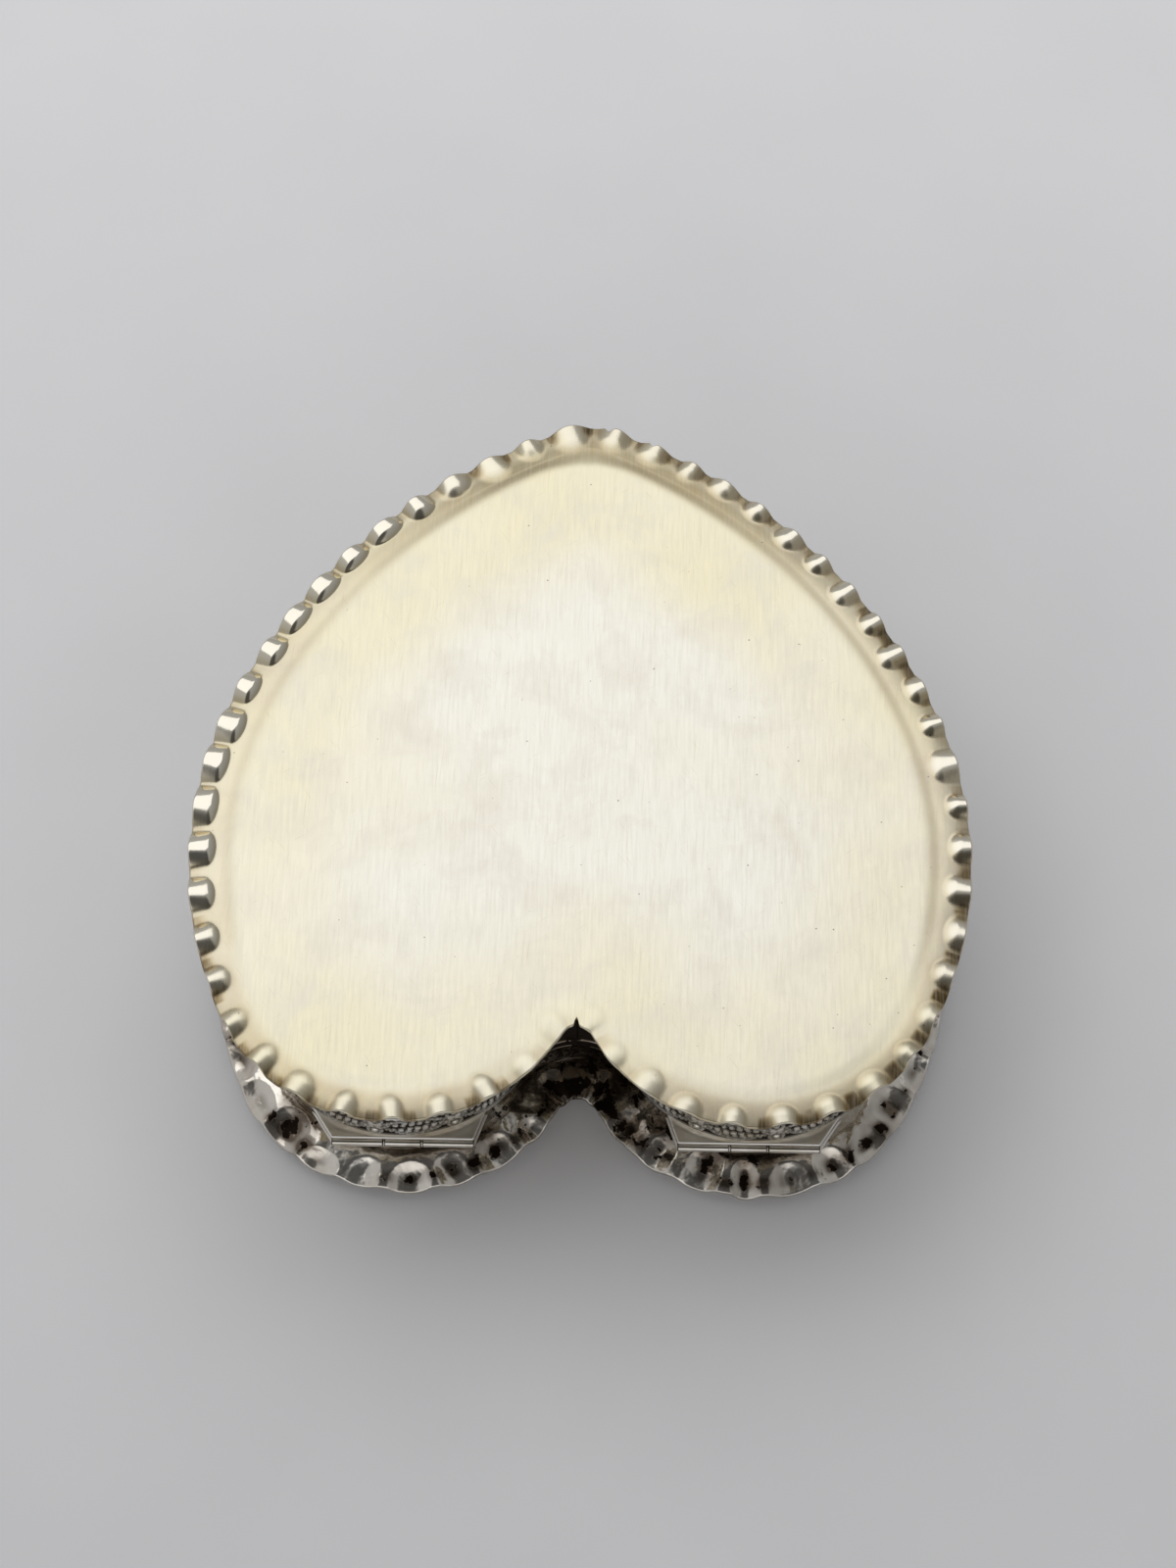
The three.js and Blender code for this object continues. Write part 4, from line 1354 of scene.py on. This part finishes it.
@dataclass
class HingeWork:
    """The two hinges: ledges soldered to the rims, tube knuckles in turn, and their pins."""

    edge: float = 0.28
    sharp: float = math.radians(40)
    # How far a ledge's back corners go out and back, at its end by the notch and at its other end.
    splays: tuple[tuple[float, float], ...] = ((1.9, 1.1), (3.4, 1.7))
    ledge_grime: float = 0.03
    # The tubes: how long their soiled ends are, how tarnished these and the rest are, and their round edge.
    soiled_end: float = 0.14
    tube_grime: tuple[float, float] = (1.0, 0.2)
    tube_edge: float = 0.16
    clearance: float = 0.1
    pin_core: float = 0.05
    segments: int = 4
    turns: int = 40

    def softened(self, node: str, body: Body, finish: bpy.types.Material) -> bpy.types.Object:
        """Copies a CAD solid and files its edges round.

        Args:
            node: The CAD node.
            body: The body that it rides on.
            finish: Its material.

        Returns:
            The piece.
        """
        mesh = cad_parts[node].data.copy()
        shape = bmesh.new()
        shape.from_mesh(mesh)
        bmesh.ops.remove_doubles(shape, verts=shape.verts, dist=0.001 * MM)
        bmesh.ops.dissolve_limit(shape, angle_limit=math.radians(1), verts=shape.verts, edges=shape.edges)
        low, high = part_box(node)
        near = 0.01 * MM
        for vertex in shape.verts:
            end = min(vertex.co.x - low.x, high.x - vertex.co.x) < near
            if end and vertex.co.y > (low.y + high.y) / 2:
                outward = 1 if high.x - vertex.co.x < near else -1
                aside, behind = self.splays[outward * (low.x + high.x) > 0]
                vertex.co += Vector((outward * aside, behind, 0)) * MM
        shape.to_mesh(mesh)
        shape.free()
        mesh.shade_smooth()
        grime_and_painted_shade = mesh.attributes.new("grime_and_painted_shade", "FLOAT", "POINT")
        grime_and_painted_shade.data.foreach_set("value", np.full(len(mesh.vertices), self.ledge_grime, np.float32))
        piece = bpy.data.objects.new(node + "_filed", mesh)
        bpy.context.scene.collection.objects.link(piece)
        bevel = piece.modifiers.new("filed_edges", "BEVEL")
        bevel.width, bevel.segments, bevel.limit_method = self.edge * MM, self.segments, "ANGLE"
        bevel.angle_limit = self.sharp
        bevel.harden_normals = True
        return dress(piece, finish, body, Slot.POLISHED, node)

    def tube(self, node: str, body: Body, finish: bpy.types.Material, bore: float) -> bpy.types.Object:
        """Turns a knuckle or pin along its CAD solid's own length.

        Args:
            node: The CAD node.
            body: The body that it rides on.
            finish: Its material.
            bore: The radius of the hole through it, or 0 for a pin.

        Returns:
            The piece.
        """
        low, high = (np.array(corner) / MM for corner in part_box(node))
        axis_y, axis_z = (low[1:] + high[1:]) / 2
        radius = (high[1] - low[1]) / 2
        core = bore or self.pin_core
        section = [(low[0], radius), (high[0], radius), (high[0], core), (low[0], core)]
        turn = np.linspace(0, 2 * math.pi, self.turns, endpoint=False)
        rings = np.array([np.column_stack([np.full(self.turns, x), axis_y + r * np.cos(turn),
                                           axis_z + r * np.sin(turn)])
                          for x, r in rounded(section, self.tube_edge)])
        to_end = np.minimum(rings[..., 0] - low[0], high[0] - rings[..., 0])
        grime_and_painted_shade = np.where(to_end < self.soiled_end, *self.tube_grime)
        piece = skin(node + "_turned", rings, joined=True, masks={"grime_and_painted_shade": grime_and_painted_shade})
        return dress(piece, finish, body, Slot.POLISHED, node)

    def build(self, finish: bpy.types.Material, filed: bpy.types.Material) -> None:
        """Builds both hinges.

        Args:
            finish: The tubes' material.
            filed: The ledges' material.
        """
        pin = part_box("hinge_pin_left")
        bore = (pin[1].y - pin[0].y) / 2 / MM + self.clearance
        for side in ("left", "right"):
            self.softened(f"lid_ledge_{side}", Body.LID, filed)
            self.softened(f"box_ledge_{side}", Body.BOX, filed)
            self.tube(f"lid_knuckle_{side}", Body.LID, finish, bore)
            for end in ("inner", "outer"):
                self.tube(f"box_knuckle_{side}_{end}", Body.BOX, finish, bore)
            self.tube(f"hinge_pin_{side}", Body.LID, finish, 0.0)


@dataclass
class VelvetLining:
    """The velvet inside: a pad in the lid, a pad on the foot, and a strip round the wall."""

    steps: int = 150
    rows: int = 20
    tip_cut: float = 3.0
    middle: tuple[float, float] = (0.0, 2.0)
    # Each pad's inset at its widest, and the heights of its back and its crown.
    lid_pad: tuple[float, float, float] = (14.4, 0.86, 3.9)
    base_pad: tuple[float, float, float] = (8.0, 33.4, 30.88)
    # Over a pad: the edge's height and the crown's, as shares, and the size and length of its unevenness.
    crown: tuple[float, float] = (0.42, 0.58)
    puff: tuple[float, float] = (0.06, 24.0)
    # Round its rolled edge: shares of the way out, and of its height. Then shares of the way out on its back.
    roll: tuple[tuple[float, float], ...] = ((0.985, 0.5), (0.997, 0.36), (1.0, 0.22), (0.992, 0.08),
                                             (0.97, 0.0))
    back_rows: tuple[float, ...] = (0.7, 0.35, 0.06)
    strip_even_on: float = 8.0
    strip_insets: tuple[float, float] = (7.95, 9.1)
    strip_corner: float = 0.55

    def pad(self, name: str, node: str, body: Body, edge: float, back: float, front: float,
            finish: bpy.types.Material) -> bpy.types.Object:
        """Makes a heart-shaped pad, crowned on its front and flat on its back.

        Args:
            name: The piece's name.
            node: The CAD node that it replaces.
            body: The body that it rides on.
            edge: The inset of its widest edge.
            back: The height of its back.
            front: The height of its crown.
            finish: Its material.

        Returns:
            The piece.
        """
        stations = PLAN.stations(self.steps, edge)
        run = np.arange(2 * self.steps) / self.steps
        rim = PLAN.loop(edge + self.tip_cut * smooth(0.88, 1.0, np.minimum(run, 2 - run)), stations)
        middle = np.array(self.middle)
        swell = front - back
        at_edge, crowned = self.crown
        uneven, wavelength = self.puff
        rings = []

        def ring(share: float, high: Array | float) -> None:
            """Adds a ring at a share of the way from the middle to the edge."""
            flat = middle + (rim - middle) * share
            rings.append(np.column_stack([flat, np.broadcast_to(high, len(flat))]))

        for share in np.linspace(0.06, 0.965, self.rows):
            flat = middle + (rim - middle) * share
            round_off = (1 - share ** 6) ** 0.5
            puff = 1 + uneven * ripple(flat, wavelength, 12) * (1 - share ** 4)
            ring(share, back + swell * (at_edge + crowned * round_off) * puff)
        for share, part in self.roll:
            ring(share, back + swell * part)
        for share in self.back_rows:
            ring(share, back)
        made = np.array(rings)
        low, high = min(back, front), max(back, front)
        made[..., 2] = np.clip(made[..., 2], low, high)
        piece = dress(skin(name, made), finish, body, Slot.VELVET, node)
        return piece or piece

    def strip(self, finish: bpy.types.Material) -> bpy.types.Object:
        """Makes the wall's lining, a soft strip with rolled edges.

        Args:
            finish: Its material.

        Returns:
            The piece.
        """
        low, high = (corner.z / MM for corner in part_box("wall_lining"))
        back, front = self.strip_insets
        section = rounded([(back, low), (back, high), (front, high), (front, low)], self.strip_corner, 5)
        stations = PLAN.stations(self.steps, self.strip_even_on)
        rings = np.array([np.column_stack([PLAN.loop(inset, stations), np.full(2 * self.steps, level)])
                          for inset, level in section])
        piece = dress(skin("wall_lining_velvet", rings, joined=True), finish, Body.BOX, Slot.VELVET,
                      "wall_lining")
        return piece or piece

    def build(self, finish: bpy.types.Material) -> None:
        """Builds the three pieces.

        Args:
            finish: Their material.
        """
        self.pad("lid_pad_velvet", "lid_pad", Body.LID, *self.lid_pad, finish)
        self.pad("base_pad_velvet", "base_pad", Body.BOX, *self.base_pad, finish)
        self.strip(finish)


@dataclass
class Studio:
    """The table, the soft light and the camera, set as in the photograph."""

    floor_colour: str = "ececee"
    floor_size: float = 6.0
    tooth_size: float = 30.0
    tooth: tuple[float, float] = (0.985, 1.015)
    camera_turn: float = math.radians(1.03)
    camera_rise: float = math.radians(63)
    camera_away: float = 492.0
    camera_aim: tuple[float, float, float] = (0.96, -4.96, 34.2)
    lens_pixels: float = 3398.0
    sensor: float = 36.0
    softbox_place: tuple[float, float, float] = (-0.2, 0.47, 0.88)
    softbox_size: tuple[float, float] = (1.35, 0.95)
    softbox_power: float = 3.05
    camera_side: tuple[float, float, float] = (0.0, -0.52, 0.854)
    shade_spread: tuple[float, float] = (math.radians(19), math.radians(37))
    shade: float = 0.8
    # The room's brightness on its left and right, and how that grows towards the front.
    room_sides: tuple[float, float] = (0.78, 0.48)
    room_front: tuple[float, float] = (1.5, 0.6)
    front_reach: tuple[float, float] = (-0.95, -0.55)
    # How much brighter than lit the camera sees the paper: in the middle, and the gain per metre back.
    paper_seen: tuple[float, float] = (1.23, 0.72)
    # What the camera sees behind, and how far off, in metres, the paper turns to it.
    backdrop: float = 0.6
    fade: tuple[float, float] = (0.35, 1.3)

    def floor(self) -> None:
        """Lays a matt paper table under the lid."""
        half = self.floor_size / 2
        mesh = bpy.data.meshes.new("paper_table")
        mesh.from_pydata([(-half, -half, 0), (half, -half, 0), (half, half, 0), (-half, half, 0)], [],
                         [(0, 1, 2, 3)])
        table = bpy.data.objects.new("paper_table", mesh)
        table.location.z = -0.02 * MM
        bpy.context.scene.collection.objects.link(table)
        material, tree, _, place = start_finish("matt_grey_paper")
        tooth = add_node(tree, "TexNoise", {"Scale": 1 / (self.tooth_size * MM), "Detail": 5.0},
                         {"Vector": place})
        shade = add_node(tree, "MapRange",
                         {"From Min": 0.3, "From Max": 0.7, "To Min": self.tooth[0], "To Max": self.tooth[1]},
                         {"Value": tooth.outputs["Fac"]})
        colour = add_node(tree, "VectorMath", {"operation": "SCALE", 0: linear(self.floor_colour)[:3]},
                          {"Scale": shade.outputs[0]})
        level, per_metre = self.paper_seen
        depth = add_node(tree, "SeparateXYZ", {}, {0: place})
        reach = 0.3
        further = add_node(tree, "MapRange",
                           {"From Min": -reach, "From Max": reach, "To Min": level - reach * per_metre,
                            "To Max": level + reach * per_metre}, {"Value": depth.outputs["Y"]})
        ray = add_node(tree, "LightPath").outputs["Is Camera Ray"]
        seen = add_node(tree, "Mix", {2: 1.0}, {0: ray, 3: further.outputs[0]})
        lifted = add_node(tree, "VectorMath", {"operation": "SCALE"},
                          {0: colour.outputs[0], "Scale": seen.outputs[0]})
        matt = add_node(tree, "BsdfDiffuse", {}, {"Color": lifted.outputs[0]})
        away = add_node(tree, "VectorMath", {"operation": "LENGTH"}, {0: place})
        far = add_node(tree, "MapRange",
                       {"From Min": self.fade[0], "From Max": self.fade[1],
                        "interpolation_type": "SMOOTHSTEP"}, {"Value": away.outputs["Value"]})
        faded = add_node(tree, "Math", {"operation": "MULTIPLY"}, {0: far.outputs[0], 1: ray})
        haze = add_node(tree, "Emission", {"Color": (self.backdrop,) * 3 + (1.0,)})
        paper = add_node(tree, "MixShader", {}, {0: faded.outputs[0], 1: matt.outputs[0], 2: haze.outputs[0]})
        tree.links.new(paper.outputs[0], tree.nodes["Material Output"].inputs["Surface"])
        mesh.materials.append(material)

    def light(self) -> None:
        """Hangs one large softbox over the back, in a pale room that the photographer shades."""
        data = bpy.data.lights.new("softbox", "AREA")
        data.shape = "RECTANGLE"
        data.size, data.size_y = self.softbox_size
        data.energy = self.softbox_power
        lamp = bpy.data.objects.new("softbox", data)
        lamp.location = self.softbox_place
        lamp.rotation_mode = "QUATERNION"
        lamp.rotation_quaternion = (-Vector(self.softbox_place)).to_track_quat("-Z", "Y")
        bpy.context.scene.collection.objects.link(lamp)
        world = bpy.data.worlds.new("grey_room")
        bpy.context.scene.world = world
        world.use_nodes = True
        tree = world.node_tree
        way = add_node(tree, "TexCoord").outputs["Generated"]
        part = add_node(tree, "SeparateXYZ", {}, {0: way})
        side = add_node(tree, "MapRange",
                        {"From Min": -1.0, "From Max": 1.0, "To Min": self.room_sides[0],
                         "To Max": self.room_sides[1]}, {"Value": part.outputs["X"]})
        front = add_node(tree, "MapRange",
                         {"From Min": self.front_reach[0], "From Max": self.front_reach[1],
                          "To Min": self.room_front[0], "To Max": self.room_front[1],
                          "interpolation_type": "SMOOTHSTEP"}, {"Value": part.outputs["Y"]})
        room = add_node(tree, "Math", {"operation": "MULTIPLY"}, {0: side.outputs[0], 1: front.outputs[0]})
        facing = add_node(tree, "VectorMath", {"operation": "DOT_PRODUCT", 1: self.camera_side}, {0: way})
        shade = add_node(tree, "MapRange", {"From Min": math.cos(self.shade_spread[1]), "To Min": 0.0,
                                            "From Max": math.cos(self.shade_spread[0]), "To Max": self.shade,
                                            "interpolation_type": "SMOOTHSTEP"},
                         {"Value": facing.outputs["Value"]})
        grey = add_node(tree, "Mix", {3: 0.0}, {0: shade.outputs[0], 2: room.outputs[0]})
        ray = add_node(tree, "LightPath").outputs["Is Camera Ray"]
        seen = add_node(tree, "Mix", {3: self.backdrop}, {0: ray, 2: grey.outputs[0]})
        tree.links.new(seen.outputs[0], tree.nodes["Background"].inputs["Color"])

    def camera(self) -> None:
        """Sets the camera, whose sensor width goes with the picture's long side."""
        data = bpy.data.cameras.new("camera")
        data.sensor_width = self.sensor
        data.lens = self.lens_pixels * self.sensor / max(PHOTO_WIDTH, PHOTO_HEIGHT)
        data.clip_start, data.clip_end = 0.01, 50.0
        camera = bpy.data.objects.new("camera", data)
        level = math.cos(self.camera_rise)
        back = Vector((math.sin(self.camera_turn) * level, -math.cos(self.camera_turn) * level,
                       math.sin(self.camera_rise)))
        camera.location = (Vector(self.camera_aim) + back * self.camera_away) * MM
        camera.rotation_mode = "QUATERNION"
        camera.rotation_quaternion = (-back).to_track_quat("-Z", "Y")
        bpy.context.scene.collection.objects.link(camera)
        bpy.context.scene.camera = camera

    def build(self) -> None:
        """Sets up the whole studio."""
        self.floor()
        self.light()
        self.camera()
        bpy.context.scene.view_settings.view_transform = "Standard"


def main() -> None:
    """Builds the studio and the box, piece by piece."""
    logging.basicConfig(level=logging.INFO, format="%(message)s")
    Studio().build()
    satin = SatinSilver().build()
    polished = PolishedSilver().build()
    crusted = PolishedSilver(name="sterling_silver_crimped_tarnished", clean="f4efe6", toned="e2d8cb",
                             roughness=0.15, crumple=0.2).build()
    chased = ChasedSilver().build()
    velvet = SilkVelvet().build()
    BasePlate(FluteRow(
        seed=4, slide=PHOTO_SLIDE, unevenness=0.1,
        notch=FluteKind(width=4.4, length=3.9, rise=0.1, softness=1.2, end=2.2, tarnish=0.2),
        lobes=(
            FluteKind(width=4.6, length=3.5, rise=0.44, softness=1.3, end=2.2, tarnish=1.0, polish=0.1),
            FluteKind(width=4.2, length=4.2, rise=0.48, softness=1.4, end=2.2, tarnish=0.9, polish=0.12)),
        flanks=(
            FluteKind(width=5.0, length=4.0, rise=0.55, softness=1.3, end=2.2, tarnish=0.85, polish=0.7),
            FluteKind(width=5.9, length=3.7, rise=0.88, softness=1.0, end=1.4, tarnish=0.4, polish=0.9)),
        tip=FluteKind(width=6.2, length=4.6, rise=0.45, softness=1.6, end=3.0, tarnish=0.85, polish=0.4),
    )).build(satin)
    deep = FluteKind(width=6.4, length=4.7, rise=1.1, softness=1.05, end=2.4)
    shallow = FluteKind(width=4.6, length=4.2, rise=0.5, softness=1.5)
    LidPanel(FluteRow(seed=8, notch=shallow, lobes=(deep, deep), flanks=(deep, deep), tip=deep, even_on=3.0,
                      unevenness=0.2, shift=0.3, lean=0.12)).build(crusted)
    HeartBand("lid_skirt_drawn", rounded(SKIRT, 0.3), Body.LID, "lid_skirt").build(polished)
    HeartBand("mouth_moulding_reeded", rounded(REED, 0.1), Body.BOX, "mouth_moulding").build(polished)
    HeartBand("bezel_drawn", rounded(LIP, 0.3), Body.BOX, "bezel", grime_and_painted_shade=(0.1, 0.2)).build(polished)
    for hand in Hand:
        ChasedWall(hand).build(chased)
    filed = PolishedSilver(name="sterling_silver_filed", clean="f0ece6", toned="e2dcd4",
                           roughness=0.3).build()
    HingeWork().build(polished, filed)
    VelvetLining().build(velvet)


if __name__ == "__main__":
    main()
